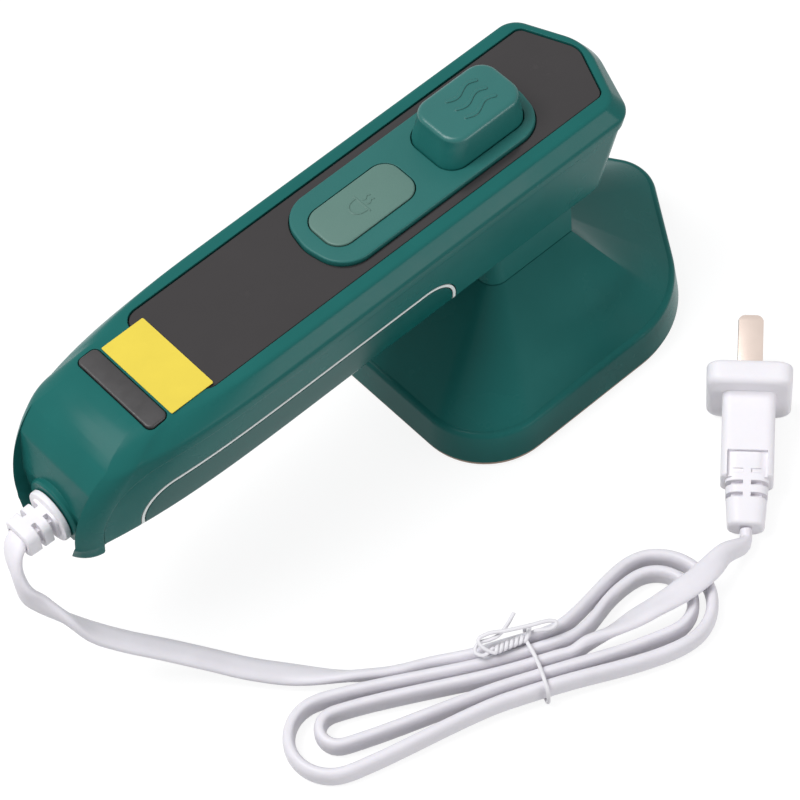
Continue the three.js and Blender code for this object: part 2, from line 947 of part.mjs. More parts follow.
function upperShell() {
  let shell = outside.intersect(upperRegion(0));
  shell = cut(shell, cavity, recessForm(0));
  const boss = pinAlongX(recess.bossRadius, recess.bossX, recess.wallX + wall, recess.bossZ);
  shell = join(shell, boss.intersect(outside));
  postPlaces.forEach(([x, y]) => {
    const post = pin(screw.bossRadius, postSplitZ + gap, handleTop, x, y, 12);
    const inner = handleForm(wall / 2, handle.roof / 2);
    shell = join(shell, cut(post.intersect(inner), recessForm(wall / 2)));
  });
  boardPlaces.forEach(([x, y]) => {
    shell = join(shell, pin(board.postRadius, boardTop + gap, roofUnder + gap, x, y, 8));
  });
  const collar = cut(
    prism(rounded(mouthCorners(-filler.tubeWall)), roofUnder - filler.collarDepth, roofUnder + gap),
    prism(rounded(mouthCorners(0)), roofUnder - filler.collarDepth - overrun, handleTop),
  );
  shell = join(shell, collar);
  postPlaces.forEach(([x, y]) => {
    shell = cut(shell, pin(screw.radius + gap / 2, postSplitZ, screw.tipZ + gap, x, y, 8));
  });
  return cut(
    shell,
    prism(rounded(panelCorners(-gap)), skinTop, handleTop + overrun),
    prism(rounded(steamCorners(-gap)), roofUnder - overrun, handleTop),
    prism(rounded(powerCorners(-gap)), roofUnder - overrun, handleTop),
    prism(rounded(fillerCorners(-gap)), handleTop - filler.seatDepth, handleTop + overrun),
    prism(rounded(mouthCorners(0)), roofUnder - overrun, handleTop + overrun),
    glandPassage(),
  );
}

// A round bar lying along X
function pinAlongX(radius, fromX, toX, z, steps = ringSteps) {
  const geometry = new THREE.CylinderGeometry(radius, radius, toX - fromX, steps);
  geometry.rotateZ(Math.PI / 2);
  geometry.translate((fromX + toX) / 2, 0, z);
  return solidOf(geometry);
}

function glandPassage() {
  return barAlongX(gland.tailX + overrun, recess.bossX - overrun, gland.tailWide + 2 * gap,
    gland.tailHigh + 2 * gap);
}

// A bar of rounded section lying along X at the gland's height
function barAlongX(frontX, rearX, wide, high, endWide = wide, endHigh = high) {
  const ring = (x, w, h) => {
    const radius = Math.min(w, h) * glandCornerShare;
    const section = rounded(rectangle(-w / 2, w / 2, h / 2, radius, 3));
    return section.map((point) => new THREE.Vector3(x, -point.x, gland.z + point.y));
  };
  return loft([ring(rearX, endWide, endHigh), ring(frontX, wide, high)].reverse());
}

function lowerShell() {
  let shell = cut(lowerOutside, upperRegion(gap), cavity);
  shell = join(shell, neckBlock(0, neck.floorZ, floorTop));
  shell = cut(shell, neckBlock(neck.wall, neck.floorZ + neck.wall, floorTop + overrun));
  postPlaces.forEach(([x, y]) => {
    const post = pin(screw.bossRadius, handle.bottomZ + handle.partingStep, postSplitZ, x, y, 12);
    shell = join(shell, cut(post.intersect(lowerOutside), upperRegion(gap)));
  });
  shell = cut(shell, tankRegion(2 * gap + tank.gasketThick));
  postPlaces.forEach(([x, y]) => {
    const seatZ = handle.bottomZ + screw.sink;
    shell = cut(shell, pin(screw.radius + gap, seatZ - overrun, postSplitZ + overrun, x, y, 8));
    shell = cut(shell, pin(screw.headRadius + gap, handle.bottomZ - overrun, seatZ, x, y, 12));
  });
  return cut(
    shell,
    pin(swivel.radius + gap, neck.floorZ - overrun, neck.floorZ + neck.wall + overrun),
    glandPassage(),
  );
}

place('upper_shell', upperShell(), finishes.green);
place('lower_shell', lowerShell(), finishes.green);

// Panel, bezel, label
place('top_panel', prism(
  rounded(panelCorners(0)),
  handleTop - panel.sink - panel.thick,
  handleTop - panel.sink,
  [rounded(bezelCorners(-gap))],
), finishes.panelBlack);

function bezelForm() {
  const edge = bezel.edge;
  const rings = [
    ringAt(rounded(bezelCorners(0)), skinTop + gap),
    ringAt(rounded(bezelCorners(0)), bezelTop - edge),
    ringAt(rounded(bezelCorners(edge)), bezelTop),
  ];
  return cut(
    loft(rings),
    prism(rounded(steamCorners(-gap)), skinTop - overrun, bezelTop + overrun),
    prism(rounded(powerCorners(-gap)), skinTop - overrun, bezelTop + overrun),
  );
}
place('button_bezel', bezelForm(), finishes.green);

place('blank_label', prism(
  rounded([
    [label.rearX, label.right, gap, 1],
    [label.frontX, label.right, gap, 1],
    [label.frontX, label.left, gap, 1],
    [label.rearX, label.left, gap, 1],
  ]),
  handleTop + gap / 2,
  handleTop + gap / 2 + label.thick,
), finishes.label);

// Water tank with its gasket, lid and filler tube
function tankTub() {
  const tub = lowerOutside.intersect(tankRegion(0));
  const inside = handleForm(handle.partingStep + tank.wall, 0).intersect(tankRegion(-tank.wall));
  const mouth = prism(rounded(rectangle(
    tank.rearX + tank.cornerRadius,
    tank.frontX - tank.cornerRadius,
    handle.bottomHalf - tank.wall,
    gap,
    1,
  )), tank.seamZ - 2 * tank.wall, tank.seamZ + overrun);
  return cut(tub, inside, mouth);
}
place('water_tank', tankTub(), finishes.green);

function tankGasket() {
  const band = cut(tankRegion(gap + tank.gasketThick), tankRegion(gap));
  const skin = cut(handleForm(handle.partingStep, 0), handleForm(handle.partingStep + tank.gasketWide, 0));
  return skin.intersect(band);
}
place('tank_gasket', tankGasket(), finishes.whiteSeal);

function tankLid() {
  const rearX = tank.rearX + tank.cornerRadius;
  const frontX = tank.frontX - tank.cornerRadius;
  const slab = rectangle(rearX, frontX, handle.edgeHalf, gap, 1);
  const top = tank.seamZ + gap + tank.lidThick;
  const plate = handleForm(handle.partingStep + wall + gap, 0)
    .intersect(prism(rounded(slab), tank.seamZ + gap, top));
  const port = pin(pump.spigotRadius, top - gap, top + pump.portLength, tank.portX, 0, 12);
  return cut(
    join(plate, port),
    prism(rounded(mouthCorners(0)), tank.seamZ - overrun, top + overrun),
    pin(pump.spigotRadius / 2, tank.seamZ - overrun, top + pump.portLength + overrun, tank.portX, 0, 8),
  );
}
place('tank_lid', tankLid(), finishes.innerPlastic);

place('filler_tube', cut(
  prism(
    rounded(mouthCorners(-filler.tubeWall)),
    tank.seamZ + 2 * gap + tank.lidThick,
    roofUnder - filler.collarDepth - gap,
  ),
  prism(rounded(mouthCorners(0)), tank.seamZ, roofUnder),
), finishes.innerPlastic);

// Silicone cap, its stopper reaching into the mouth
const cap = new THREE.Group();
object.add(cap);
function fillerCap() {
  const seat = handleTop - filler.seatDepth + gap / 2;
  const top = handleTop + filler.capRise;
  const rings = [
    ringAt(rounded(fillerCorners(0)), seat),
    ringAt(rounded(fillerCorners(0)), top - filler.capEdge),
    ringAt(rounded(fillerCorners(filler.capEdge)), top),
  ];
  const stopper = prism(rounded(mouthCorners(filler.plugInset)), seat - filler.plugDepth, seat + gap);
  return join(loft(rings), stopper);
}
place('filler_cap', fillerCap(), finishes.rubber, cap);

// Buttons
function steamButtonForm() {
  const low = roofUnder - gap - steamButton.flange;
  const shoulder = bezelTop + gap;
  const top = handleTop + steamButton.rise;
  const { crown, topInset } = steamButton;
  const rings = [
    ringAt(rounded(steamCorners(0)), low),
    ringAt(rounded(steamCorners(0)), shoulder),
    ringAt(rounded(steamCorners(topInset)), top - crown),
    ringAt(rounded(steamCorners(topInset + crown / 3)), top - crown / 3),
    ringAt(rounded(steamCorners(topInset + crown)), top),
  ];
  const flange = prism(rounded(steamCorners(-overrun)), low, low + steamButton.flange);
  return join(loft(rings), flange);
}
place('steam_button', steamButtonForm(), finishes.button);

function powerButtonForm() {
  const low = roofUnder - gap - powerButton.flange;
  const top = bezelTop + powerButton.rise;
  const rings = [
    ringAt(rounded(powerCorners(0)), low),
    ringAt(rounded(powerCorners(0)), top - powerButton.edge),
    ringAt(rounded(powerCorners(powerButton.edge)), top),
  ];
  const flange = prism(rounded(powerCorners(-overrun)), low, low + powerButton.flange);
  return join(loft(rings), flange);
}
place('power_button', powerButtonForm(), finishes.paleButton);

// Pump: a cup on a foot that bridges the neck, its piston hung from the steam button
const pumpFootZ = floorTop + gap;
const pumpFloorZ = pumpFootZ + pump.footThick;
function pumpBody() {
  const cup = pin(pump.radius, pumpFootZ, pumpTop, pump.x, 0, 24);
  const foot = prism(rounded(rectangle(
    neck.rearX - pump.footReach,
    neck.frontX + pump.footReach,
    pump.footHalf,
    2 * gap,
    2,
  )), pumpFootZ, pumpFloorZ);
  const outletZ = pumpFootZ - pump.spigotLength;
  const outlet = pin(pump.spigotRadius, outletZ, pumpFootZ + gap, pump.outletX, 0, 12);
  const inlet = rodBetween(
    [pump.x - pump.radius + gap, 0, pump.inletZ],
    [pump.x - pump.radius - pump.spigotLength, 0, pump.inletZ],
    pump.spigotRadius,
    8,
  );
  const bore = pin(pump.boreRadius, pumpFloorZ, pumpTop + overrun, pump.x, 0, 24);
  const drain = pin(
    pump.spigotRadius / 2,
    outletZ - overrun,
    pumpFloorZ + overrun,
    pump.outletX,
    0,
    8,
  );
  return cut(join(cup, foot, outlet, inlet), bore, drain);
}

function rodBetween(from, to, radius, sides) {
  const a = new THREE.Vector3(...from);
  const b = new THREE.Vector3(...to);
  return solidOf(rod(new THREE.LineCurve3(a, b), radius, 1, sides));
}
place('pump_body', pumpBody(), finishes.innerPlastic);

const buttonUnder = roofUnder - gap - steamButton.flange;
place('pump_plunger', join(
  pin(pump.pistonRadius, pump.pistonZ, pump.pistonZ + pump.pistonThick, pump.x, 0, 24),
  pin(pump.rodRadius, pump.pistonZ + pump.pistonThick - gap, buttonUnder - gap, pump.x, 0, 12),
), finishes.innerPlastic);

class SpringCurve extends THREE.Curve {
  constructor(radius, fromZ, toZ, turns, x) {
    super();
    Object.assign(this, { radius, fromZ, toZ, turns, x });
  }

  getPoint(t, target = new THREE.Vector3()) {
    const turn = 2 * Math.PI * this.turns * t;
    const x = this.x + this.radius * Math.cos(turn);
    return target.set(x, this.radius * Math.sin(turn), mix(this.fromZ, this.toZ, t));
  }
}
const springFrom = pumpTop + gap + pump.springWire;
const springTo = buttonUnder - gap - pump.springWire;
const spring = new SpringCurve(pump.springRadius, springFrom, springTo, pump.springTurns, pump.x);
place('pump_spring', rod(spring, pump.springWire, pump.springTurns * 8, 5), finishes.steel);

// Hoses
const portTop = tank.seamZ + gap + tank.lidThick + pump.portLength;
const inletX = pump.x - pump.radius - pump.spigotLength;
place('suction_tube', rod(curveThrough([
  [tank.portX, 0, portTop + 2 * gap],
  [tank.portX, 0, portTop + gap + hose.radius / 3],
  [tank.portX + hose.bend, 0, portTop + hose.radius],
  [(tank.portX + inletX) / 2, 0, (portTop + pump.inletZ) / 2],
  [inletX - hose.bend, 0, pump.inletZ],
  [inletX - gap, 0, pump.inletZ],
]), hose.radius, 20, 8), finishes.innerPlastic);

const nozzleTop = heater.topZ + 2 * gap + heater.sealThick + heater.lidThick + heater.nozzleHeight;
const outletTop = pumpFootZ - pump.spigotLength - gap;
place('steam_hose', rod(curveThrough([
  [pump.outletX, 0, outletTop],
  [pump.outletX, 0, outletTop - hose.bend / 2],
  [0, 0, neck.floorZ - hose.radius],
  [0, 0, neck.floorZ - 2 * hose.bend],
  [0, 0, nozzleTop - hose.insertion],
]), hose.radius, 16, 8), finishes.innerPlastic);

// Control board with the power switch and the indicator light
place('control_board', prism(
  rounded(rectangle(board.rearX, board.frontX, board.half, 2 * gap, 2)),
  boardTop - board.thick,
  boardTop,
), finishes.board);
const powerMiddleX = (powerButton.rearX + powerButton.frontX) / 2;
place('power_switch', join(
  prism(rounded(rectangle(
    powerMiddleX - board.switchSide / 2,
    powerMiddleX + board.switchSide / 2,
    board.switchSide / 2,
    gap,
    1,
  )), boardTop + gap, boardTop + gap + board.switchHeight),
  pin(
    board.stemRadius,
    boardTop + board.switchHeight,
    roofUnder - gap - powerButton.flange - powerButton.travel - gap / 2,
    powerMiddleX,
    0,
    12,
  ),
), finishes.rubber);
place('indicator_light', turned([
  [0, boardTop + gap],
  [board.lightRadius, boardTop + gap],
  [board.lightRadius, boardTop + board.lightHeight * board.lightShoulderShare],
  [board.lightRadius * board.lightTipShare, boardTop + board.lightHeight * board.lightDomeShare],
  [0, boardTop + board.lightHeight],
], board.lightX, 0, 12), finishes.light);

// Swivel
const sleeveFlangeZ = neck.floorZ + neck.wall + gap;
place('swivel_sleeve', turned([
  [swivel.boreRadius, head.topZ - swivel.reachBelow],
  [swivel.radius, head.topZ - swivel.reachBelow],
  [swivel.radius, sleeveFlangeZ],
  [swivel.flangeRadius, sleeveFlangeZ],
  [swivel.flangeRadius, sleeveFlangeZ + swivel.flangeThick],
  [swivel.boreRadius, sleeveFlangeZ + swivel.flangeThick],
  [swivel.boreRadius, head.topZ - swivel.reachBelow],
]), finishes.innerPlastic);
place('swivel_ring', sleeve(
  swivel.ringRadius,
  swivel.radius + gap,
  head.topZ - head.wall - gap - swivel.ringThick,
  head.topZ - head.wall - gap,
), finishes.steel);

// Cord gland
function cordSocket(rearX, frontX) {
  const half = cord.wide / 2 + gap;
  const section = rounded(rectangle(-half, half, cord.thick / 2 + gap, gap * 4, 2));
  const ring = (x) => section.map((point) => new THREE.Vector3(x, -point.x, gland.z + point.y));
  return loft([ring(frontX), ring(rearX)]);
}

function glandForm() {
  const flange = pinAlongX(gland.flangeRadius, recess.bossX - gap - gland.flangeThick,
    recess.bossX - gap, gland.z);
  const body = barAlongX(recess.bossX - gap - gland.flangeThick / 2, gland.endX, gland.bodyWide,
    gland.bodyHigh, gland.endWide, gland.endHigh);
  const tail = barAlongX(gland.tailX, recess.bossX - gap * 2, gland.tailWide, gland.tailHigh);
  let form = join(flange, body, tail);
  const bore = cordSocket(gland.endX - overrun, gland.endX + gland.socket);
  form = cut(form, bore);
  const firstX = recess.bossX - gap - gland.flangeThick - gland.slotStart;
  for (let k = 0; k < gland.slots; k += 1) {
    [-1, 1].forEach((side) => {
      const x = firstX - k * gland.slotPitch;
      const slot = prism(rounded(rectangle(
        x - gland.slotWide / 2,
        x + gland.slotWide / 2,
        gland.slotDepth / 2,
        gland.slotWide / 3,
        1,
        side * gland.bodyWide / 2,
      )), gland.z - gland.slotReach, gland.z + gland.slotReach);
      form = cut(form, slot);
    });
  }
  return form;
}
place('cord_gland', glandForm(), finishes.white);

// Screws of the handle, driven from the underside
function screwForm(x, y, headZ, tipZ, up) {
  const { radius, headRadius, headThick, driveRadius, driveDepth } = screw;
  const under = headZ + up * headThick;
  const profile = [[0, headZ], [headRadius, headZ], [headRadius, under], [radius, under],
    [radius, tipZ - up * radius], [0, tipZ]];
  const blank = turned(up > 0 ? profile : profile.slice().reverse(), x, y, 12);
  const drive = up > 0
    ? pin(driveRadius, headZ - overrun, headZ + driveDepth, x, y, 6)
    : pin(driveRadius, headZ - driveDepth, headZ + overrun, x, y, 6);
  return cut(blank, drive);
}
postPlaces.forEach(([x, y], i) => {
  const headZ = handle.bottomZ + screw.sink - screw.headThick - gap;
  place(`handle_screw_${i + 1}`, screwForm(x, y, headZ, screw.tipZ, 1), finishes.steel);
});

// Head, turning under the neck
const headGroup = new THREE.Group();
object.add(headGroup);

const blockFloor = sole.thick + gap;
const shieldTop = blockFloor + head.shieldThick;
const headPostZ = blockFloor + heater.baseThick + gap;
const headPostY = head.halfWidth - head.postInset;
const headPostPlaces = [
  [head.postRearX, headPostY],
  [head.postRearX, -headPostY],
  [head.postFrontX, headPostY],
  [head.postFrontX, -headPostY],
];
function headCover() {
  let cover = cut(headForm(0), headForm(head.wall));
  const inner = headForm(head.wall / 2);
  headPostPlaces.forEach(([x, y]) => {
    const post = pin(screw.bossRadius, headPostZ, head.topZ, x, y, 12);
    cover = join(cover, post.intersect(inner));
  });
  headPostPlaces.forEach(([x, y]) => {
    cover = cut(cover, pin(screw.radius + gap / 2, headPostZ - overrun, head.screwTipZ + gap, x, y, 8));
  });
  return cut(cover, pin(swivel.radius + gap, head.topZ - head.wall - overrun, head.topZ + overrun));
}
place('head_cover', headCover(), finishes.green, headGroup);

// Soleplate with its bevelled edge, steam holes and the gallery over them
function holePlaces() {
  const track = new THREE.Path([...headPoints(sole.holeInset), headPoints(sole.holeInset)[0]]);
  const spaced = track.getSpacedPoints(sole.holeCount).slice(0, -1);
  return spaced.filter((point) => point.x > sole.holeRearX).map((point) => [point.x, point.y]);
}

function soleplate() {
  const plate = loft([
    ringAt(headPoints(sole.edgeInset + sole.bevel), 0),
    ringAt(headPoints(sole.edgeInset), sole.edgeThick - sole.bevel / 2),
    ringAt(headPoints(sole.edgeInset), sole.edgeThick),
  ]);
  const body = prism(headPoints(sole.bodyInset), sole.edgeThick - gap, sole.thick);
  let solid = join(plate, body);
  holePlaces().forEach(([x, y]) => {
    solid = cut(solid, pin(sole.holeRadius, -overrun, sole.thick + overrun, x, y, 8));
  });
  return solid;
}
place('soleplate', soleplate(), finishes.aluminium, headGroup);

place('heat_shield', prism(
  headPoints(sole.bodyInset),
  sole.thick + gap,
  shieldTop,
  [headPoints(heater.baseInset - gap)],
), finishes.ceramic, headGroup);

// Heater block: a base over the steam holes, a raised block with the chamber
function elementRoute() {
  const [, right, nose, left] = headCorners(heater.elementInset);
  const half = left[1];
  const bend = head.shoulderRadius - heater.elementInset;
  const track = rounded([
    [heater.elementRearX, -half, gap, 1],
    [right[0], -half, bend, corner],
    [nose[0], 0, heater.elementNoseRadius, corner],
    [left[0], half, bend, corner],
    [heater.elementRearX, half, gap, 1],
  ]);
  const route = track.slice(2, -2).map((point) => new THREE.Vector3(point.x, point.y, heater.topZ));
  const ends = [-half, half].map((y) => [heater.elementRearX, 0].map((x) => (
    new THREE.Vector3(x, y, heater.topZ)
  )));
  return [...ends[0], ...route, ...ends[1].reverse()];
}
const elementCurve = new THREE.CatmullRomCurve3(elementRoute());
function heaterBlock() {
  const base = prism(headPoints(heater.baseInset), blockFloor, blockFloor + heater.baseThick);
  const upper = prism(headPoints(heater.inset), blockFloor + heater.baseThick - gap, heater.topZ);
  const chamber = prism(headPoints(heater.chamberInset), heater.topZ - heater.chamberDepth,
    heater.topZ + overrun);
  const seat = prism(headPoints(heater.lidInset - gap), heater.topZ - heater.seatDepth,
    heater.topZ + overrun);
  const groove = solidOf(rod(elementCurve, heater.elementRadius + gap, 26, 8));
  const gallery = cut(
    prism(headPoints(sole.holeInset - sole.galleryHalf), blockFloor - overrun,
      blockFloor + sole.galleryDepth),
    prism(headPoints(sole.holeInset + sole.galleryHalf), blockFloor - 2 * overrun,
      blockFloor + sole.galleryDepth + overrun),
  );
  let block = cut(join(base, upper), chamber, seat, groove, gallery);
  [-1, 1].forEach((side) => {
    const y = side * heater.ductY;
    const outerY = side * (head.halfWidth - sole.holeInset);
    const half = Math.abs(outerY - y) / 2 + sole.ductHalf;
    const branch = rounded(rectangle(-sole.ductHalf, sole.ductHalf, half, gap, 1, (y + outerY) / 2));
    block = cut(
      block,
      prism(branch, blockFloor - overrun, blockFloor + sole.galleryDepth),
      pin(sole.ductHalf, blockFloor - overrun, heater.topZ, 0, y, 8),
    );
  });
  headPostPlaces.forEach(([x, y]) => {
    const seatZ = blockFloor + screw.headThick + 2 * gap;
    block = cut(
      block,
      pin(screw.headRadius + gap, blockFloor - overrun, seatZ, x, y, 12),
      pin(screw.radius + gap, blockFloor, headPostZ, x, y, 8),
    );
  });
  return block;
}
place('heater_block', heaterBlock(), finishes.castAluminium, headGroup);
place('heating_element', rod(elementCurve, heater.elementRadius, 26, 8), finishes.steel, headGroup);

const sealZ = heater.topZ - heater.seatDepth + gap;
place('chamber_seal', prism(
  headPoints(heater.lidInset),
  sealZ,
  sealZ + heater.sealThick,
  [headPoints(heater.lidInset + heater.sealWide)],
), finishes.rubber, headGroup);

const lidUnder = sealZ + heater.sealThick + gap;
const lidTop = lidUnder + heater.lidThick;
function chamberLid() {
  const plate = prism(headPoints(heater.lidInset), lidUnder, lidTop);
  const nozzle = pin(heater.nozzleRadius, lidTop - gap, nozzleTop, 0, 0, 16);
  return cut(join(plate, nozzle), pin(heater.nozzleBore, lidUnder - overrun, nozzleTop + overrun, 0, 0, 16));
}
place('chamber_lid', chamberLid(), finishes.steel, headGroup);

place('thermostat', turned([
  [0, lidTop + gap],
  [heater.thermostatRadius, lidTop + gap],
  [heater.thermostatRadius, lidTop + gap + heater.thermostatHeight / 2],
  [heater.thermostatRadius * heater.thermostatCapShare, lidTop + gap + heater.thermostatHeight / 2],
  [heater.thermostatRadius * heater.thermostatCapShare, lidTop + gap + heater.thermostatHeight],
  [0, lidTop + gap + heater.thermostatHeight],
], heater.thermostatX, 0, 20), finishes.steel, headGroup);
place('thermal_fuse', rodBetween(
  [heater.fuseX, -heater.fuseLength / 2, lidTop + gap + heater.fuseRadius],
  [heater.fuseX, heater.fuseLength / 2, lidTop + gap + heater.fuseRadius],
  heater.fuseRadius,
  10,
), finishes.ceramic, headGroup);

headPostPlaces.forEach(([x, y], i) => {
  const form = screwForm(x, y, blockFloor + gap, head.screwTipZ, 1);
  place(`head_screw_${i + 1}`, form, finishes.steel, headGroup);
});

// Plug: it lies on the edge of its flange and the end of its relief.
function plugFrame() {
  const turn = new THREE.Matrix4().makeRotationZ(plug.turn);
  const tilt = new THREE.Matrix4().makeRotationY(-plug.tilt);
  const move = new THREE.Matrix4().makeTranslation(plug.x, plug.y, plug.z);
  return move.multiply(turn).multiply(tilt);
}

function plugEntry() {
  const frame = plugFrame();
  return [-cord.straight - gap, -gap].map((x) => new THREE.Vector3(x, 0, 0).applyMatrix4(frame));
}

// Rings across the plug's axis; each level holds [along, width, height, corner radius]
function plugLoft(levels) {
  const frame = plugFrame();
  const rings = levels.map(([along, wide, high, radius]) => {
    const section = rounded(rectangle(-wide / 2, wide / 2, high / 2, radius, 3));
    return section.map((point) => (
      new THREE.Vector3(along, point.x, point.y).applyMatrix4(frame)
    ));
  });
  return loft(rings);
}

function plugBox(fromX, toX, fromY, toY, fromZ, toZ) {
  const corners = rounded([
    [fromY, fromZ, gap / 2, 1], [toY, fromZ, gap / 2, 1], [toY, toZ, gap / 2, 1],
    [fromY, toZ, gap / 2, 1],
  ]);
  const frame = plugFrame();
  const ring = (x) => corners.map((point) => (
    new THREE.Vector3(x, point.x, point.y).applyMatrix4(frame)
  ));
  return loft([ring(fromX), ring(toX)]);
}

// Cord: a flat twin lead. The route points are the middle of the cord.
const leadPoints = [
  [gland.endX + gland.socket - gap, 0, gland.z],
  [gland.endX, 0, gland.z],
  [-152, -1.3, 49.6],
  [-153.5, -3.7, 45.4],
  [-153.8, -6.6, 40.5],
  [-151.8, -9.2, 35.8],
  [-148.7, -12.9, 30.9],
  [-144.9, -16.7, 24.9],
  [-139.3, -20.9, 19.1],
  [-132, -26.4, 13.3],
  [-124.6, -33.4, 8.5],
  [-117.6, -41, 4.8],
  [-109.8, -49.5, 3.1],
  [-101.6, -57.7, 3],
  [-92.9, -64.9, 3.2],
  [-84, -70.6, 3.7],
];
const tailPoints = [
  [-54.4, -92.9, 5.8],
  [-47.6, -95.1, 6.8],
  [-41, -96.9, 7.8],
  [-35.4, -98.3, 8.6],
  [-29.7, -99.4, 9],
  [-24.1, -99.9, 9.1],
  [-18.6, -99.6, 8.8],
  [-13.4, -98.8, 8],
];

class CubicCurve extends THREE.Curve {
  constructor(points) {
    super();
    this.points = points;
  }

  getPoint(t, target = new THREE.Vector3()) {
    const [a, b, c, d] = this.points;
    const s = 1 - t;
    return target
      .set(0, 0, 0)
      .addScaledVector(a, s * s * s)
      .addScaledVector(b, 3 * s * s * t)
      .addScaledVector(c, 3 * s * t * t)
      .addScaledVector(d, t * t * t);
  }
}

// Direction of the strands under the tie, and the lanes across it from back to front
const tieAlong = new THREE.Vector3(Math.cos(hank.tieTurn), Math.sin(hank.tieTurn), 0);
const tieAcross = new THREE.Vector3(Math.sin(hank.tieTurn), -Math.cos(hank.tieTurn), 0);
const tieCentre = new THREE.Vector3(hank.x, hank.y, 0);

function lanePoint(lane, along) {
  return tieCentre
    .clone()
    .addScaledVector(tieAcross, (lane - 2) * hank.pitch)
    .addScaledVector(tieAlong, along)
    .setZ(hank.tieZ);
}

// One loop: out of a lane, round an arc and back into another lane
function loopPoints({ fromLane, toLane, side, turn, distance, radius, reachShare, sweep }) {
  const along = side * hank.tieHalf;
  const start = lanePoint(fromLane, along);
  const end = lanePoint(toLane, along);
  const outward = tieAlong.clone().multiplyScalar(side);
  const axis = new THREE.Vector3(Math.cos(turn), Math.sin(turn), 0);
  const middle = tieCentre.clone().addScaledVector(axis, distance).setZ(hank.restZ);
  const spin = fromLane < toLane ? -side : side;
  const arcPoint = (angle) => {
    const spoke = axis.clone().applyAxisAngle(new THREE.Vector3(0, 0, 1), angle);
    return middle.clone().addScaledVector(spoke, radius);
  };
  const tangent = (angle) => axis
    .clone()
    .applyAxisAngle(new THREE.Vector3(0, 0, 1), angle + spin * Math.PI / 2);
  const first = -spin * sweep;
  const last = spin * sweep;
  const reach = distance * reachShare;
  const out = new CubicCurve([
    start,
    start.clone().addScaledVector(outward, reach),
    arcPoint(first).addScaledVector(tangent(first), -reach),
    arcPoint(first),
  ]);
  const back = new CubicCurve([
    arcPoint(last),
    arcPoint(last).addScaledVector(tangent(last), reach),
    end.clone().addScaledVector(outward, reach),
    end,
  ]);
  const points = [];
  for (let k = 0; k < hank.legSteps; k += 1) {
    points.push(out.getPoint(k / hank.legSteps));
  }
  for (let k = 0; k < hank.arcSteps; k += 1) {
    points.push(arcPoint(mix(first, last, k / hank.arcSteps)));
  }
  for (let k = 0; k <= hank.legSteps; k += 1) {
    points.push(back.getPoint(k / hank.legSteps));
  }
  return points;
}

function hankRoute() {
  const entry = lanePoint(0, -hank.tieHalf);
  const exit = lanePoint(2, hank.tieHalf);
  return [entry, ...hank.loops.flatMap(loopPoints), exit];
}

function leastSelfGap(points, width) {
  const skip = hank.selfSkip;
  const lengths = [0];
  points.slice(1).forEach((point, i) => lengths.push(lengths[i] + point.distanceTo(points[i])));
  let least = Infinity;
  points.forEach((a, i) => {
    points.forEach((b, j) => {
      if (lengths[j] - lengths[i] > skip) {
        least = Math.min(least, a.distanceTo(b) - width);
      }
    });
  });
  return least;
}

// Section of the twin lead
function cordSection(across, along, steps) {
  const section = new THREE.Shape();
  for (let k = 0; k < steps; k += 1) {
    const turn = 2 * Math.PI * (k + 0.5) / steps;
    const x = across / 2 * Math.cos(turn);
    const y = along / 2 * Math.sin(turn);
    if (k === 0) {
      section.moveTo(x, y);
    } else {
      section.lineTo(x, y);
    }
  }
  section.closePath();
  return section;
}

// The cord stands on edge where its roll is zero and lies flat at a quarter turn.
// rolls holds [share of the length, roll].
class CordCurve extends THREE.CatmullRomCurve3 {
  constructor(points, rolls) {
    super(points);
    this.rolls = rolls;
    this.arcLengthDivisions = points.length * hank.lengthSamples;
  }

  rollAt(share) {
    const next = Math.max(this.rolls.findIndex(([at]) => at >= share), 1);
    const [fromShare, from] = this.rolls[next - 1];
    const [toShare, to] = this.rolls[next];
    const local = THREE.MathUtils.smoothstep(share, fromShare, toShare);
    return mix(from, to, local);
  }

  computeFrenetFrames(segments) {
    const frames = { tangents: [], normals: [], binormals: [] };
    for (let i = 0; i <= segments; i += 1) {
      const tangent = this.getTangentAt(i / segments);
      const sideways = new THREE.Vector3(0, 0, 1).cross(tangent).normalize();
      const across = tangent.clone().cross(sideways);
      across.applyAxisAngle(tangent, this.rollAt(i / segments));
      frames.tangents.push(tangent);
      frames.normals.push(across);
      frames.binormals.push(tangent.clone().cross(across));
    }
    return frames;
  }
}

function cordTube(points, rolls, steps, sides) {
  const curve = new CordCurve(points, rolls);
  const settings = { steps, extrudePath: curve, bevelEnabled: false };
  const section = cordSection(cord.wide, cord.thick, sides);
  const geometry = new THREE.ExtrudeGeometry(section, settings);
  return { geometry, length: curve.getLength() };
}

const hankPoints = hankRoute();
const leadRoute = [
  ...leadPoints.map(([x, y, z]) => new THREE.Vector3(x, y, z)),
  lanePoint(0, -hank.tieHalf - hank.lead),
  lanePoint(0, -hank.tieHalf - gap),
];
const tailRoute = [
  lanePoint(2, hank.tieHalf + gap),
  lanePoint(2, hank.tieHalf + hank.lead / 2),
  ...tailPoints.map(([x, y, z]) => new THREE.Vector3(x, y, z)),
  ...plugEntry(),
];
const flat = cord.flatTurn;
const leadRolls = [
  [0, flat], [0.02, flat], [0.09, 2 * flat], [0.15, 2 * flat], [0.3, 3 * flat], [0.6, 3 * flat],
  [0.78, 2.2 * flat], [0.88, 2 * flat], [1, 2 * flat],
];
const tailRolls = [[0, 0], [0.12, 0], [0.42, flat], [1, flat]];
const leadTube = cordTube(leadRoute, leadRolls, cord.leadSteps, cord.sides);
const hankTube = cordTube(hankPoints, [[0, 0], [1, 0]], cord.hankSteps, 6);
const tailTube = cordTube(tailRoute, tailRolls, cord.tailSteps, cord.sides);
place('cord_lead', leadTube.geometry, finishes.white);
place('cord_hank', hankTube.geometry, finishes.white);
place('cord_tail', tailTube.geometry, finishes.white);
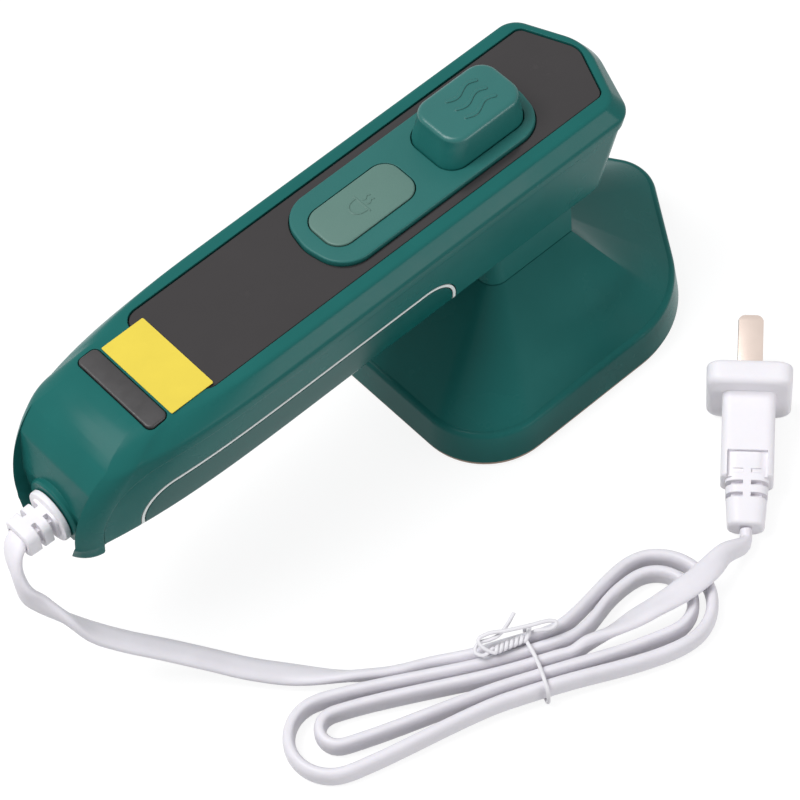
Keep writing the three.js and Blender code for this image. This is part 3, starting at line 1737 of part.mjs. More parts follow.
const cordLength = leadTube.length + hankTube.length + tailTube.length;
console.log('cord length', cordLength.toFixed(0), 'mm');
console.log('hank gap', leastSelfGap(hankPoints, cord.thick).toFixed(2), 'mm');

// Wire tie: once round the strands, its ends twisted together
function tieWire() {
  const points = [];
  const halfWide = 2 * hank.pitch + cord.thick / 2 + tie.radius + gap;
  const lowZ = hank.tieZ - cord.wide / 2 - tie.radius - gap;
  const highZ = hank.tieZ + cord.wide / 2 + tie.radius + gap;
  const at = (across, z, along = 0) => tieCentre
    .clone()
    .addScaledVector(tieAcross, across)
    .addScaledVector(tieAlong, along)
    .setZ(z);
  const twistAt = (share, phase) => {
    const turn = 2 * Math.PI * tie.twists * share + phase;
    const away = tie.length * share + tie.radius * 2;
    return at(
      -halfWide + tie.helix * Math.cos(turn) - away * tie.leanShare,
      highZ + tie.helix * Math.sin(turn) + tie.helix,
      -away,
    );
  };
  for (let k = tie.twistSteps; k >= 0; k -= 1) {
    points.push(twistAt(k / tie.twistSteps, 0));
  }
  const bend = cord.thick / 2;
  points.push(
    at(-halfWide + bend, highZ),
    at(0, highZ),
    at(halfWide - bend, highZ),
    at(halfWide, highZ - bend),
    at(halfWide, lowZ + bend),
    at(halfWide - bend, lowZ),
    at(0, lowZ, tie.radius),
    at(-halfWide + bend, lowZ, tie.radius),
    at(-halfWide, lowZ + bend, tie.radius),
    at(-halfWide - tie.radius, hank.tieZ, 0),
  );
  for (let k = 0; k <= tie.twistSteps; k += 1) {
    points.push(twistAt(k / tie.twistSteps, Math.PI));
  }
  return points;
}
place('hank_tie', rod(new THREE.CatmullRomCurve3(tieWire()), tie.radius, tie.steps, 6), finishes.white);

function plugForm() {
  const { bodyWide, bodyHigh, reliefWide, reliefHigh, reliefEndX, bodyEndX, faceX } = plug;
  const soft = plug.edge;
  const relief = plugLoft([
    [0, plug.endWide - soft, plug.endHigh - soft, soft],
    [soft, plug.endWide, plug.endHigh, plug.endRadius],
    [reliefEndX, reliefWide, reliefHigh, plug.endRadius],
  ]);
  const body = plugLoft([
    [reliefEndX - gap, bodyWide - soft, bodyHigh - soft, soft],
    [reliefEndX + soft, bodyWide, bodyHigh, plug.bodyRadius],
    [bodyEndX, bodyWide, bodyHigh, plug.bodyRadius],
    [faceX - plug.flangeThick + gap, bodyWide, bodyHigh + 2 * soft, plug.bodyRadius],
  ]);
  const flange = plugLoft([
    [faceX - plug.flangeThick, plug.flangeWide - soft, plug.flangeHigh - soft, plug.flangeRadius],
    [faceX - plug.flangeThick + soft, plug.flangeWide, plug.flangeHigh, plug.flangeRadius],
    [faceX - soft, plug.flangeWide, plug.flangeHigh, plug.flangeRadius],
    [faceX, plug.flangeWide - 2 * soft, plug.flangeHigh - 2 * soft, plug.flangeRadius],
  ]);
  let form = join(relief, body, flange);
  for (let k = 0; k < plug.slots; k += 1) {
    const x = plug.slotX + k * plug.slotPitch;
    [-1, 1].forEach((side) => {
      const near = side * plug.webHalf;
      const far = side * bodyWide;
      const slot = plugBox(
        x,
        x + plug.slotWide,
        Math.min(near, far),
        Math.max(near, far),
        plug.coreHalf,
        bodyHigh,
      );
      const under = plugBox(
        x,
        x + plug.slotWide,
        Math.min(near, far),
        Math.max(near, far),
        -bodyHigh,
        -plug.coreHalf,
      );
      form = cut(form, slot, under);
    });
  }
  [-1, 1].forEach((side) => {
    const middle = side * plug.bladePitch / 2;
    const seat = plugBox(
      faceX - plug.bladeSeat - gap,
      faceX + overrun,
      -plug.bladeWide / 2 - gap,
      plug.bladeWide / 2 + gap,
      middle - plug.bladeThick / 2 - gap,
      middle + plug.bladeThick / 2 + gap,
    );
    form = cut(form, seat);
  });
  return form;
}
place('plug_body', plugForm(), finishes.white);

function blade(side) {
  const middle = side * plug.bladePitch / 2;
  const half = plug.bladeWide / 2;
  const thick = plug.bladeThick / 2;
  const tipX = plug.faceX + plug.bladeLength;
  const frame = plugFrame();
  const ring = (x, inY, inZ) => [
    [-half + inY, middle - thick + inZ], [half - inY, middle - thick + inZ],
    [half - inY, middle + thick - inZ], [-half + inY, middle + thick - inZ],
  ].map(([y, z]) => new THREE.Vector3(x, y, z).applyMatrix4(frame));
  const form = loft([
    ring(plug.faceX - plug.bladeSeat, 0, 0),
    ring(tipX - plug.bladeThick / 2, 0, 0),
    ring(tipX, plug.bladeThick / 3, plug.bladeThick / 4),
  ]);
  return form;
}
place('plug_blade_upper', blade(1), finishes.brass);
place('plug_blade_lower', blade(-1), finishes.brass);

export default object;
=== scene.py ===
# Mini handheld steam iron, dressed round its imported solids. Sizes in the settings are millimetres.
import json
import math
import re

import bmesh
import bpy
import numpy as np
from mathutils import Matrix, Vector


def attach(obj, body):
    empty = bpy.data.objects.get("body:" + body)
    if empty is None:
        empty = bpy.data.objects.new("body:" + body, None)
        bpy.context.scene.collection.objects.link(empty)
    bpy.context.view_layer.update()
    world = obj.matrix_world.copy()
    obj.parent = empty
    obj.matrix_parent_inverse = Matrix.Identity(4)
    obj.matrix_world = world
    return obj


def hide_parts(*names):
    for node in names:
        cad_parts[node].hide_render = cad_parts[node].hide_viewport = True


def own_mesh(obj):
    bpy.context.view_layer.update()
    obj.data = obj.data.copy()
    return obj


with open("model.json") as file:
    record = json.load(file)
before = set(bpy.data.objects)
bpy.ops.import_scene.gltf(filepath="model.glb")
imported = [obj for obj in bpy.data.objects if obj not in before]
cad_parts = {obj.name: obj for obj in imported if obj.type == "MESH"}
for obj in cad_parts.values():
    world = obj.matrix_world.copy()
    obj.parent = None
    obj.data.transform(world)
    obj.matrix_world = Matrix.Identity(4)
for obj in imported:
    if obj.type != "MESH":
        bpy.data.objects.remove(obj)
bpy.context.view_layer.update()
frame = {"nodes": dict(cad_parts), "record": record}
nodes = frame["nodes"]
mm = 0.001
gap = 0.3
wall = 2.0
past = 1.0  # how far a cutting form passes the face that it cuts
below = 6.0  # how far the forms that part the shells reach under the handle
leastRadius = 0.15  # what the corners of an inset outline keep
weld = 1e-7  # metres; nearer points become one


def stageLine(text):
    print("stage:", text, flush=True)


# Camera at the photograph's angle, aimed at a point inside the object
view = {"azimuth": -36.87, "elevation": 54.86, "roll": -6.1, "distance": 869.5,
        "target": (-53.02, -26.53, 40.0), "focalShare": 4.455875, "sensor": 36,
        "clip": (0.05, 20)}


def makeCamera():
    a, e, r = (math.radians(view[k]) for k in ("azimuth", "elevation", "roll"))
    back = Vector((math.sin(a) * math.cos(e), -math.cos(a) * math.cos(e), math.sin(e)))
    level = Vector((math.cos(a), math.sin(a), 0))
    rise = back.cross(level)
    right = math.cos(r) * level + math.sin(r) * rise
    up = math.cos(r) * rise - math.sin(r) * level
    data = bpy.data.cameras.new("photoCamera")
    data.sensor_width = view["sensor"]
    data.lens = view["sensor"] * view["focalShare"]
    data.clip_start, data.clip_end = view["clip"]
    camera = bpy.data.objects.new("photoCamera", data)
    bpy.context.scene.collection.objects.link(camera)
    eye = (Vector(view["target"]) + back * view["distance"]) * mm
    turn = Matrix((right, up, back)).transposed().to_4x4()
    camera.matrix_world = Matrix.Translation(eye) @ turn
    bpy.context.scene.camera = camera


makeCamera()


# Mesh helpers. Corners are anticlockwise lists of (x, y, radius).
def unit(v):
    return v / np.linalg.norm(v)


# The place and radius of each corner, the ways back and on from it and half the angle between
def cornerAngles(corners):
    for i, (x, y, radius) in enumerate(corners):
        here = np.array((x, y), float)
        back, on = (unit(np.array(corners[k % len(corners)][:2], float) - here)
                    for k in (i - 1, i + 1))
        yield here, radius, back, on, math.acos(np.clip(back @ on, -1, 1)) / 2


def roundedOutline(corners, steps):
    points = []
    for here, radius, back, on, half in cornerAngles(corners):
        centre = here + unit(back + on) * radius / math.sin(half)
        start = here + back * radius / math.tan(half) - centre
        for k in range(steps + 1):
            t = (math.pi - 2 * half) * k / steps
            c, s = math.cos(t), math.sin(t)
            points.append(centre + (c * start[0] - s * start[1], s * start[0] + c * start[1]))
    return np.array(points)


def insetOutline(corners, distance, steps):
    moved = []
    for here, radius, back, on, half in cornerAngles(corners):
        x, y = here + unit(back + on) * distance / math.sin(half)
        moved.append((x, y, max(radius - distance, leastRadius)))
    return roundedOutline(moved, steps)


# An outline that is the same on both sides, from its right half and its foremost point
def bothSides(right, tipX):
    right = np.array(right)
    return np.concatenate((right, [[tipX, 0.0]], right[::-1] * (1, -1)))


def rectangle(rearX, frontX, half, radius, centreY=0.0):
    low, high = centreY - half, centreY + half
    return [(x, y, radius) for x, y in ((rearX, low), (frontX, low), (frontX, high), (rearX, high))]


def at(outline, z):
    return np.column_stack((outline, np.full(len(outline), z)))


# A section of (y, z) points, stood up across X
def standing(section, x):
    return np.column_stack((np.full(len(section), x), section))


def mix(a, b, share):
    return a + (b - a) * share


# Sine and cosine at even steps through a quarter turn, for rounded edges
def quarter(count):
    return [(math.sin(turn), math.cos(turn)) for turn in np.linspace(0, math.pi / 2, count)]


# A closed round ring across X
def ringAcross(x, radius, centreZ, count):
    turn = np.linspace(0, 2 * math.pi, count, endpoint=False)
    ring = np.column_stack((radius * np.cos(turn), radius * np.sin(turn)))
    return standing(ring, x) + (0, 0, centreZ)


# Outlines inset along a quarter arc, so that a top edge comes out rounded
def crownRings(outline, topZ, edge, count):
    return [at(outline(edge * (1 - c)), topZ - edge * (1 - s)) for s, c in quarter(count)]


def makeMesh(name, points, faces):
    mesh = bpy.data.meshes.new(name)
    mesh.from_pydata([tuple(p) for p in np.asarray(points) * mm], [], faces)
    mesh.validate()
    form = bmesh.new()
    form.from_mesh(mesh)
    bmesh.ops.remove_doubles(form, verts=form.verts, dist=weld)
    bmesh.ops.recalc_face_normals(form, faces=form.faces)
    form.to_mesh(mesh)
    form.free()
    piece = bpy.data.objects.new(name, mesh)
    bpy.context.scene.collection.objects.link(piece)
    return piece


# Rings of equal counts, skinned in order and closed at both ends
def loftPiece(name, rings):
    levels, count = len(rings), len(rings[0])
    faces = []
    for a in range(0, (levels - 1) * count, count):
        for i in range(count):
            j = (i + 1) % count
            faces.append((a + i, a + j, a + count + j, a + count + i))
    faces.append(tuple(range(count - 1, -1, -1)))
    faces.append(tuple(range((levels - 1) * count, levels * count)))
    return makeMesh(name, np.concatenate(rings), faces)


def prismPiece(name, outline, low, high):
    return loftPiece(name, [at(outline, low), at(outline, high)])


# A side outline of (x, z) points carried across the width
def sidePrism(name, points, half):
    x, z = np.array(points, float).T
    near = np.column_stack((x, np.full(len(x), -half), z))
    return loftPiece(name, [near, near * (1, -1, 1)])


def copyOf(piece):
    twin = piece.copy()
    twin.data = piece.data.copy()
    bpy.context.scene.collection.objects.link(twin)
    return twin


def combine(piece, how, *tools):
    for tool in tools:
        for solver in ("MANIFOLD", "EXACT"):
            step = piece.modifiers.new("step", "BOOLEAN")
            step.operation = how
            step.object = tool
            step.solver = solver
            graph = bpy.context.evaluated_depsgraph_get()
            made = bpy.data.meshes.new_from_object(piece.evaluated_get(graph))
            piece.modifiers.clear()
            if len(made.polygons) and not sameMesh(made, piece.data):
                break
        old = piece.data
        piece.data = made
        bpy.data.meshes.remove(old)
        bpy.data.objects.remove(tool)
    return piece


def sameMesh(a, b):
    return len(a.vertices) == len(b.vertices) and len(a.polygons) == len(b.polygons)


def cut(piece, *tools):
    return combine(piece, "DIFFERENCE", *tools)


def join(piece, *tools):
    return combine(piece, "UNION", *tools)


def keep(piece, *tools):
    return combine(piece, "INTERSECT", *tools)


# Shade a mesh smooth up to an angle, in the finish of its slot
def dress(mesh, slot, angle):
    mesh.materials.clear()
    mesh.materials.append(bySlot[slot])
    mesh.polygons.foreach_set("use_smooth", [True] * len(mesh.polygons))
    mesh.polygons.foreach_set("material_index", [0] * len(mesh.polygons))
    mesh.set_sharp_from_angle(angle=math.radians(angle))
    mesh.update()


# Name, dress and fasten a finished piece; it stands for the named nodes
def finishPiece(piece, name, body, slot, stands, angle=32):
    piece.name = name
    piece.data.name = name
    dress(piece.data, slot, angle)
    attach(piece, body)
    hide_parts(*stands)
    return piece


# Materials. Colours are given as they look on the object, 0 to 255.
def tint(r, g, b):
    values = [v / 255 for v in (r, g, b)]
    linear = [v / 12.92 if v < 0.04045 else ((v + 0.055) / 1.055) ** 2.4 for v in values]
    return tuple(linear) + (1.0,)


def addNode(tree, kind, links=(), **values):
    node = tree.nodes.new(kind)
    for key, value in values.items():
        if hasattr(node, key):
            setattr(node, key, value)
        else:
            node.inputs[key.replace("_", " ")].default_value = value
    for socket, source in links:
        tree.links.new(source, node.inputs[socket])
    return node


shading = {"rampLow": 0.3, "rampHigh": 0.7, "scratchScale": 110.0, "scratchLow": 0.64,
           "scratchHigh": 0.74, "bumpDistance": 0.0002, "bevelSamples": 6, "leastRough": 0.03,
           "subsurfaceRadius": (0.002, 0.0015, 0.001)}


# Moulded or cast surface: a fine grain, slow changes of gloss and tone, softened edges
def surface(name, colour, rough=0.35, grain=0.04, grainScale=1400.0, tone=0.06, toneScale=45.0,
            edge=0.25, wear=0.0, wearColour=None, metallic=0.0, specular=0.5, mottle=0.05,
            subsurface=0.0):
    material = bpy.data.materials.new(name)
    material.use_nodes = True
    tree = material.node_tree
    shader = tree.nodes["Principled BSDF"]
    place = tree.nodes.new("ShaderNodeTexCoord").outputs["Object"]
    slow = addNode(tree, "ShaderNodeTexNoise", [("Vector", place)], Scale=toneScale, Detail=4.0,
                   Roughness=0.6)
    fine = addNode(tree, "ShaderNodeTexNoise", [("Vector", place)], Scale=grainScale, Detail=2.0)
    dark = tuple(c * (1 - tone) for c in colour[:3]) + (1.0,)
    light = tuple(min(c * (1 + tone), 1.0) for c in colour[:3]) + (1.0,)
    ramp = addNode(tree, "ShaderNodeValToRGB", [("Fac", slow.outputs["Fac"])])
    ends = (("rampLow", dark), ("rampHigh", light))
    for element, (end, shade) in zip(ramp.color_ramp.elements, ends):
        element.position = shading[end]
        element.color = shade
    toned = ramp.outputs["Color"]
    gloss = addNode(tree, "ShaderNodeMapRange", [("Value", slow.outputs["Fac"])],
                    From_Min=shading["rampLow"], From_Max=shading["rampHigh"],
                    To_Min=max(rough - mottle, shading["leastRough"]),
                    To_Max=min(rough + mottle, 1.0))
    if wear:
        scratch = addNode(tree, "ShaderNodeTexNoise", [("Vector", place)],
                          Scale=shading["scratchScale"], Detail=8.0, Roughness=0.75)
        mask = addNode(tree, "ShaderNodeMapRange", [("Value", scratch.outputs["Fac"])],
                       From_Min=shading["scratchLow"], From_Max=shading["scratchHigh"], To_Max=wear)
        # Sockets of a colour mix go by number: share 0, first colour 6, second 7, result 2
        worn = addNode(tree, "ShaderNodeMix", [(0, mask.outputs["Result"]), (6, toned)],
                       data_type="RGBA")
        worn.inputs[7].default_value = wearColour
        toned = worn.outputs[2]
    rounded = addNode(tree, "ShaderNodeBevel", Radius=edge * mm, samples=shading["bevelSamples"])
    bump = addNode(tree, "ShaderNodeBump", [("Height", fine.outputs["Fac"]),
                                            ("Normal", rounded.outputs["Normal"])],
                   Strength=grain, Distance=shading["bumpDistance"])
    for socket, source in (("Base Color", toned), ("Roughness", gloss.outputs["Result"]),
                           ("Normal", bump.outputs["Normal"])):
        tree.links.new(source, shader.inputs[socket])
    for socket, value in (("Metallic", metallic), ("Specular IOR Level", specular),
                          ("Subsurface Weight", subsurface),
                          ("Subsurface Radius", shading["subsurfaceRadius"])):
        shader.inputs[socket].default_value = value
    return material


finishes = [
    surface("greenShell", tint(30, 97, 93), rough=0.25, grain=0.02, tone=0.05, edge=0.35,
            wear=0.1, wearColour=tint(60, 130, 124), specular=0.07),
    surface("greenTank", tint(14, 82, 78), rough=0.2, grain=0.015, tone=0.06, edge=0.35,
            wear=0.1, wearColour=tint(60, 120, 114), specular=0.12),
    surface("greenBezel", tint(31, 98, 94), rough=0.45, grain=0.12, grainScale=2600.0,
            tone=0.04, edge=0.35, specular=0.3),
    surface("greenButton", tint(24, 99, 95), rough=0.34, grain=0.1, grainScale=2600.0,
            tone=0.04, edge=0.4, specular=0.5),
    surface("greyButton", tint(81, 115, 106), rough=0.48, grain=0.14, grainScale=2600.0,
            tone=0.04, edge=0.3),
    surface("blackPanel", tint(46, 43, 44), rough=0.16, grain=0.01, tone=0.05, edge=0.2,
            specular=0.4, wear=0.12, wearColour=tint(92, 86, 88)),
    surface("blackCap", tint(48, 46, 47), rough=0.42, grain=0.1, tone=0.12, toneScale=160.0,
            edge=0.35, wear=0.5, wearColour=tint(96, 94, 96), mottle=0.12),
    surface("yellowLabel", tint(220, 198, 70), rough=0.5, grain=0.05, tone=0.03,
            toneScale=90.0, edge=0.05, specular=0.3),
    # White of the band along the tank's seam: a painted highlight for the white glint along that
    # edge
    surface("whiteGasket", tint(226, 232, 230), rough=0.5, grain=0.05, tone=0.02, edge=0.1),
    surface("whiteRubber", tint(234, 231, 236), rough=0.46, grain=0.1, grainScale=1800.0,
            tone=0.03, edge=0.3, specular=0.35, subsurface=0.1),
    surface("whiteCord", tint(226, 223, 229), rough=0.44, grain=0.12, grainScale=1600.0,
            tone=0.035, toneScale=70.0, edge=0.1, specular=0.35, wear=0.2,
            wearColour=tint(206, 201, 206), subsurface=0.1),
    surface("whiteTie", tint(226, 224, 228), rough=0.5, grain=0.1, tone=0.03, edge=0.1),
    surface("platedBrass", tint(222, 205, 195), rough=0.34, grain=0.08, grainScale=3000.0,
            tone=0.06, edge=0.12, metallic=0.85, wear=0.3, wearColour=tint(206, 178, 150)),
    surface("coatedPlate", tint(150, 128, 112), rough=0.4, grain=0.1, tone=0.08, edge=0.2,
            metallic=0.35),
    surface("innerPlastic", tint(214, 213, 206), rough=0.55, grain=0.08),
    surface("blackPlastic", tint(34, 34, 35), rough=0.5, grain=0.1),
    surface("clearHose", tint(216, 218, 212), rough=0.3, grain=0.04, subsurface=0.3),
    surface("redSeal", tint(150, 44, 34), rough=0.55, grain=0.06),
    surface("circuitBoard", tint(36, 104, 58), rough=0.35, grain=0.06, tone=0.14,
            toneScale=300.0),
    surface("redLight", tint(206, 52, 40), rough=0.15, grain=0.0),
    surface("springSteel", tint(190, 190, 194), rough=0.25, grain=0.04, metallic=1.0),
    surface("screwSteel", tint(176, 176, 180), rough=0.35, grain=0.08, metallic=1.0),
    surface("elementSteel", tint(150, 146, 142), rough=0.42, grain=0.12, metallic=1.0),
    surface("castBlock", tint(196, 196, 198), rough=0.55, grain=0.5, grainScale=900.0,
            metallic=1.0, tone=0.1),
    surface("whiteCeramic", tint(226, 224, 214), rough=0.6, grain=0.12),
]
# Slots have the same names in lower case, with underscores
bySlot = {re.sub("([A-Z])", r"_\1", finish.name).lower(): finish for finish in finishes}
for part in frame["record"]["subparts"]:
    carried = nodes[part["node"]]
    dress(carried.data, part["material_slot"], 35)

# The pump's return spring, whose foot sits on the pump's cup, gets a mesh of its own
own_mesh(nodes["pump_spring"])
stageLine("materials")

# Cord: one flat twin lead from the gland through the hank to the plug. It stands on edge where
# its roll is zero or a half turn and lies flat at a quarter turn.
flat = math.pi / 2
cord = {"wide": 6.2, "thick": 3.1, "straight": 3.2, "groove": 0.06, "grooveWide": 0.6,
        "power": 2.3, "step": 1.1, "sides": 32}
hank = {"x": -66.95, "y": -88.3, "tieTurn": -24.8, "tieHalf": 5.0, "tieZ": 5.0, "restZ": 3.3,
        "pitch": 3.6, "lead": 9.0, "spans": 7, "arcSpans": 10}
hankLoops = [
    {"fromLane": 0, "toLane": 4, "side": 1, "distance": 34.7, "radius": 13.5, "turn": -12.2,
     "sweep": 72, "reachShare": 0.26},
    {"fromLane": 4, "toLane": 1, "side": -1, "distance": 52.4, "radius": 10.6, "turn": 157.8,
     "sweep": 92, "reachShare": 0.28},
    {"fromLane": 1, "toLane": 3, "side": 1, "distance": 34.4, "radius": 9.0, "turn": -12.4,
     "sweep": 95, "reachShare": 0.4},
    {"fromLane": 3, "toLane": 2, "side": -1, "distance": 50.3, "radius": 4.6, "turn": 156.2,
     "sweep": 88, "reachShare": 0.24},
]
leadPoints = [
    (-145.5, 0, 51.7), (-149.2, 0, 51.7), (-152, -1.3, 49.6), (-153.5, -3.7, 45.4),
    (-153.8, -6.6, 40.5), (-151.8, -9.2, 35.8), (-148.7, -12.9, 30.9), (-144.9, -16.7, 24.9),
    (-139.3, -20.9, 19.1), (-132, -26.4, 13.3), (-124.6, -33.4, 8.5), (-117.6, -41, 4.8),
    (-109.8, -49.5, 3.1), (-101.6, -57.7, 3), (-92.9, -64.9, 3.2), (-84, -70.6, 3.7),
]
tailPoints = [
    (-54.4, -92.9, 5.8), (-47.6, -95.1, 6.8), (-41, -96.9, 7.8), (-35.4, -98.3, 8.6),
    (-29.7, -99.4, 9), (-24.1, -99.9, 9.1), (-18.6, -99.6, 8.8), (-13.4, -98.8, 8),
]
leadRolls = [(0, flat), (0.02, flat), (0.09, 2 * flat), (0.15, 2 * flat), (0.3, 3 * flat),
             (0.6, 3 * flat), (0.78, 2.2 * flat), (0.88, 2 * flat), (1, 2 * flat)]
tailRolls = [(0, 2 * flat), (0.1, 2 * flat), (0.4, 2.8 * flat), (0.64, 3.2 * flat),
             (0.92, 4 * flat), (1, 4 * flat)]
plug = {
    "x": -2.8, "y": -95.9, "z": 4.8, "turn": 43.8, "tilt": 13.4, "endWide": 9.4, "endHigh": 9.4,
    "endRadius": 3.2, "reliefWide": 11.0, "reliefHigh": 10.4, "reliefEndX": 12.4, "bodyWide": 13.3,
    "bodyHigh": 12.0, "bodyRadius": 2.4, "bodyEndX": 20.0, "faceX": 40.4, "flangeThick": 6.2,
    "flangeWide": 21.5, "flangeHigh": 25.7, "flangeRadius": 3.6, "edge": 1.0, "swell": 0.3,
    "bodyRound": 0.8, "rearRound": 1.8, "frontRound": 1.2, "slots": 3, "slotX": 7.0,
    "slotPitch": 3.1, "slotWide": 1.1, "slotDeep": 1.6, "webHalf": 1.0, "coreHalf": 3.0,
    "reachX": 18.6, "windowZ": 4.9, "windowInset": 0.5,
}
# The tip's levels: back from its end, narrower at each side, thinner at each side, radius
blade = {"pitch": 12.7, "wide": 6.35, "thick": 1.5, "length": 14.5, "seat": 4.5, "room": 0.12,
         "radius": 0.2, "tip": ((1.6, 0, 0, 0.2), (0.8, 0.35, 0.15, 0.2), (0.25, 0.9, 0.35, 0.1),
                                (0, 1.5, 0.5, 0.1))}

# The plug's own axes: along it towards the blades, across it, and up through its thick side
plugTurn, plugTilt = math.radians(plug["turn"]), math.radians(plug["tilt"])
turnCos, turnSin = math.cos(plugTurn), math.sin(plugTurn)
tiltCos, tiltSin = math.cos(plugTilt), math.sin(plugTilt)
plugMatrix = np.array([
    [turnCos * tiltCos, -turnSin, -turnCos * tiltSin],
    [turnSin * tiltCos, turnCos, -turnSin * tiltSin],
    [tiltSin, 0, tiltCos],
])


def fromPlug(points):
    return np.asarray(points, float) @ plugMatrix.T + (plug["x"], plug["y"], plug["z"])


tieTurn = math.radians(hank["tieTurn"])
tieAlong = np.array((math.cos(tieTurn), math.sin(tieTurn), 0))
tieAcross = np.array((math.sin(tieTurn), -math.cos(tieTurn), 0))
tieCentre = np.array((hank["x"], hank["y"], 0))


def lanePoint(lane, along):
    point = tieCentre + tieAcross * (lane - 2) * hank["pitch"] + tieAlong * along
    return point + (0, 0, hank["tieZ"])


def cubic(points, share):
    a, b, c, d = points
    s, t = 1 - share, share
    return a * s ** 3 + 3 * b * s * s * t + 3 * c * s * t * t + d * t ** 3


# One loop: out of a lane, round an arc and back into another lane
def loopPoints(loop):
    side = loop["side"]
    start = lanePoint(loop["fromLane"], side * hank["tieHalf"])
    end = lanePoint(loop["toLane"], side * hank["tieHalf"])
    outward = tieAlong * side
    turn = math.radians(loop["turn"])
    middle = tieCentre + loop["distance"] * np.array((math.cos(turn), math.sin(turn), 0))
    middle[2] = hank["restZ"]
    spin = -side if loop["fromLane"] < loop["toLane"] else side
    sweep = math.radians(loop["sweep"])

    def spoke(angle):
        return np.array((math.cos(turn + angle), math.sin(turn + angle), 0))

    def arc(angle):
        return middle + loop["radius"] * spoke(angle)

    first, last = -spin * sweep, spin * sweep
    reach = loop["distance"] * loop["reachShare"]
    leave = spoke(first + spin * math.pi / 2)
    arrive = spoke(last + spin * math.pi / 2)
    out = (start, start + outward * reach, arc(first) - leave * reach, arc(first))
    back = (arc(last), arc(last) + arrive * reach, end + outward * reach, end)
    spans, arcSpans = hank["spans"], hank["arcSpans"]
    points = [cubic(out, k / spans) for k in range(spans)]
    points += [arc(mix(first, last, k / arcSpans)) for k in range(arcSpans)]
    points += [cubic(back, k / spans) for k in range(spans + 1)]
    return points


# Centripetal spline through the points, many samples to a span
def smoothPath(points, samples=24):
    points = np.array(points, float)
    ends = (2 * points[0] - points[1], 2 * points[-1] - points[-2])
    p = np.vstack((ends[0], points, ends[1]))
    path = []
    for i in range(len(points) - 1):
        a, b, c, d = p[i:i + 4]
        da, db, dc = (max(np.linalg.norm(v) ** 0.5, 1e-4) for v in (b - a, c - b, d - c))
        ta = ((b - a) / da - (c - a) / (da + db) + (c - b) / db) * db
        tb = ((c - b) / db - (d - b) / (db + dc) + (d - c) / dc) * db
        t = np.linspace(0, 1, samples, endpoint=False)[:, None]
        path.append(b + ta * t + (3 * (c - b) - 2 * ta - tb) * t ** 2
                    + (2 * (b - c) + ta + tb) * t ** 3)
    path.append(points[-1:])
    return np.concatenate(path)


def lengthsAlong(path):
    return np.concatenate(([0], np.cumsum(np.linalg.norm(np.diff(path, axis=0), axis=1))))


def tangentsAlong(path):
    tangent = np.gradient(path, axis=0)
    return tangent / np.linalg.norm(tangent, axis=1)[:, None]


def evenly(path, step):
    run = lengthsAlong(path)
    marks = np.linspace(0, run[-1], max(int(round(run[-1] / step)), 2) + 1)
    return np.column_stack([np.interp(marks, run, path[:, k]) for k in range(3)])


def rollsAlong(path, rolls):
    run = lengthsAlong(path)
    shares = run / run[-1]
    marks, values = zip(*rolls)
    slot = np.clip(np.searchsorted(marks, shares, side="left"), 1, len(marks) - 1)
    low, high = np.array(marks)[slot - 1], np.array(marks)[slot]
    t = np.clip((shares - low) / (high - low), 0, 1)
    t = t * t * (3 - 2 * t)
    return np.array(values)[slot - 1] * (1 - t) + np.array(values)[slot] * t


def buildCord():
    entry = fromPlug([(-cord["straight"] - gap, 0, 0), (-gap, 0, 0)])
    lead = smoothPath(leadPoints + [lanePoint(0, -hank["tieHalf"] - hank["lead"]),
                                    lanePoint(0, -hank["tieHalf"] - gap)])
    loops = [lanePoint(0, -hank["tieHalf"])]
    for loop in hankLoops:
        loops += loopPoints(loop)[1 if loop is not hankLoops[0] else 0:]
    middle = smoothPath(loops + [lanePoint(2, hank["tieHalf"])])
    tail = smoothPath([lanePoint(2, hank["tieHalf"] + gap),
                       lanePoint(2, hank["tieHalf"] + hank["lead"] / 2)] + tailPoints + list(entry))
    parts = [evenly(part, cord["step"]) for part in (lead, middle, tail)]
    rolls = [rollsAlong(parts[0], leadRolls), np.full(len(parts[1]), 2 * flat),
             rollsAlong(parts[2], tailRolls)]
    path, roll = np.concatenate(parts), np.concatenate(rolls)
    tangent = tangentsAlong(path)
    sideways = np.cross((0, 0, 1.0), tangent)
    sideways /= np.linalg.norm(sideways, axis=1)[:, None]
    across = np.cross(tangent, sideways)
    wide = np.cos(roll)[:, None] * across - np.sin(roll)[:, None] * sideways
    deep = np.cross(tangent, wide)
    # Section: a squared oval with a shallow groove down the middle of both flat sides
    turn = np.linspace(0, 2 * math.pi, cord["sides"], endpoint=False)
    c, s = np.cos(turn), np.sin(turn)
    power = 2 / cord["power"]
    x = cord["wide"] / 2 * np.sign(c) * np.abs(c) ** power
    y = cord["thick"] / 2 * np.sign(s) * np.abs(s) ** power
    y = y * (1 - cord["groove"] * np.exp(-(x / cord["grooveWide"]) ** 2))
    rings = [p + np.outer(x, w) + np.outer(y, d) for p, w, d in zip(path, wide, deep)]
    piece = loftPiece("cord", rings)
    solids = ["cord_lead", "cord_hank", "cord_tail"]
    finishPiece(piece, "cord", "handle", "white_cord", solids, angle=60)
    return piece, path


cordPiece, cordPath = buildCord()
stageLine("cord")

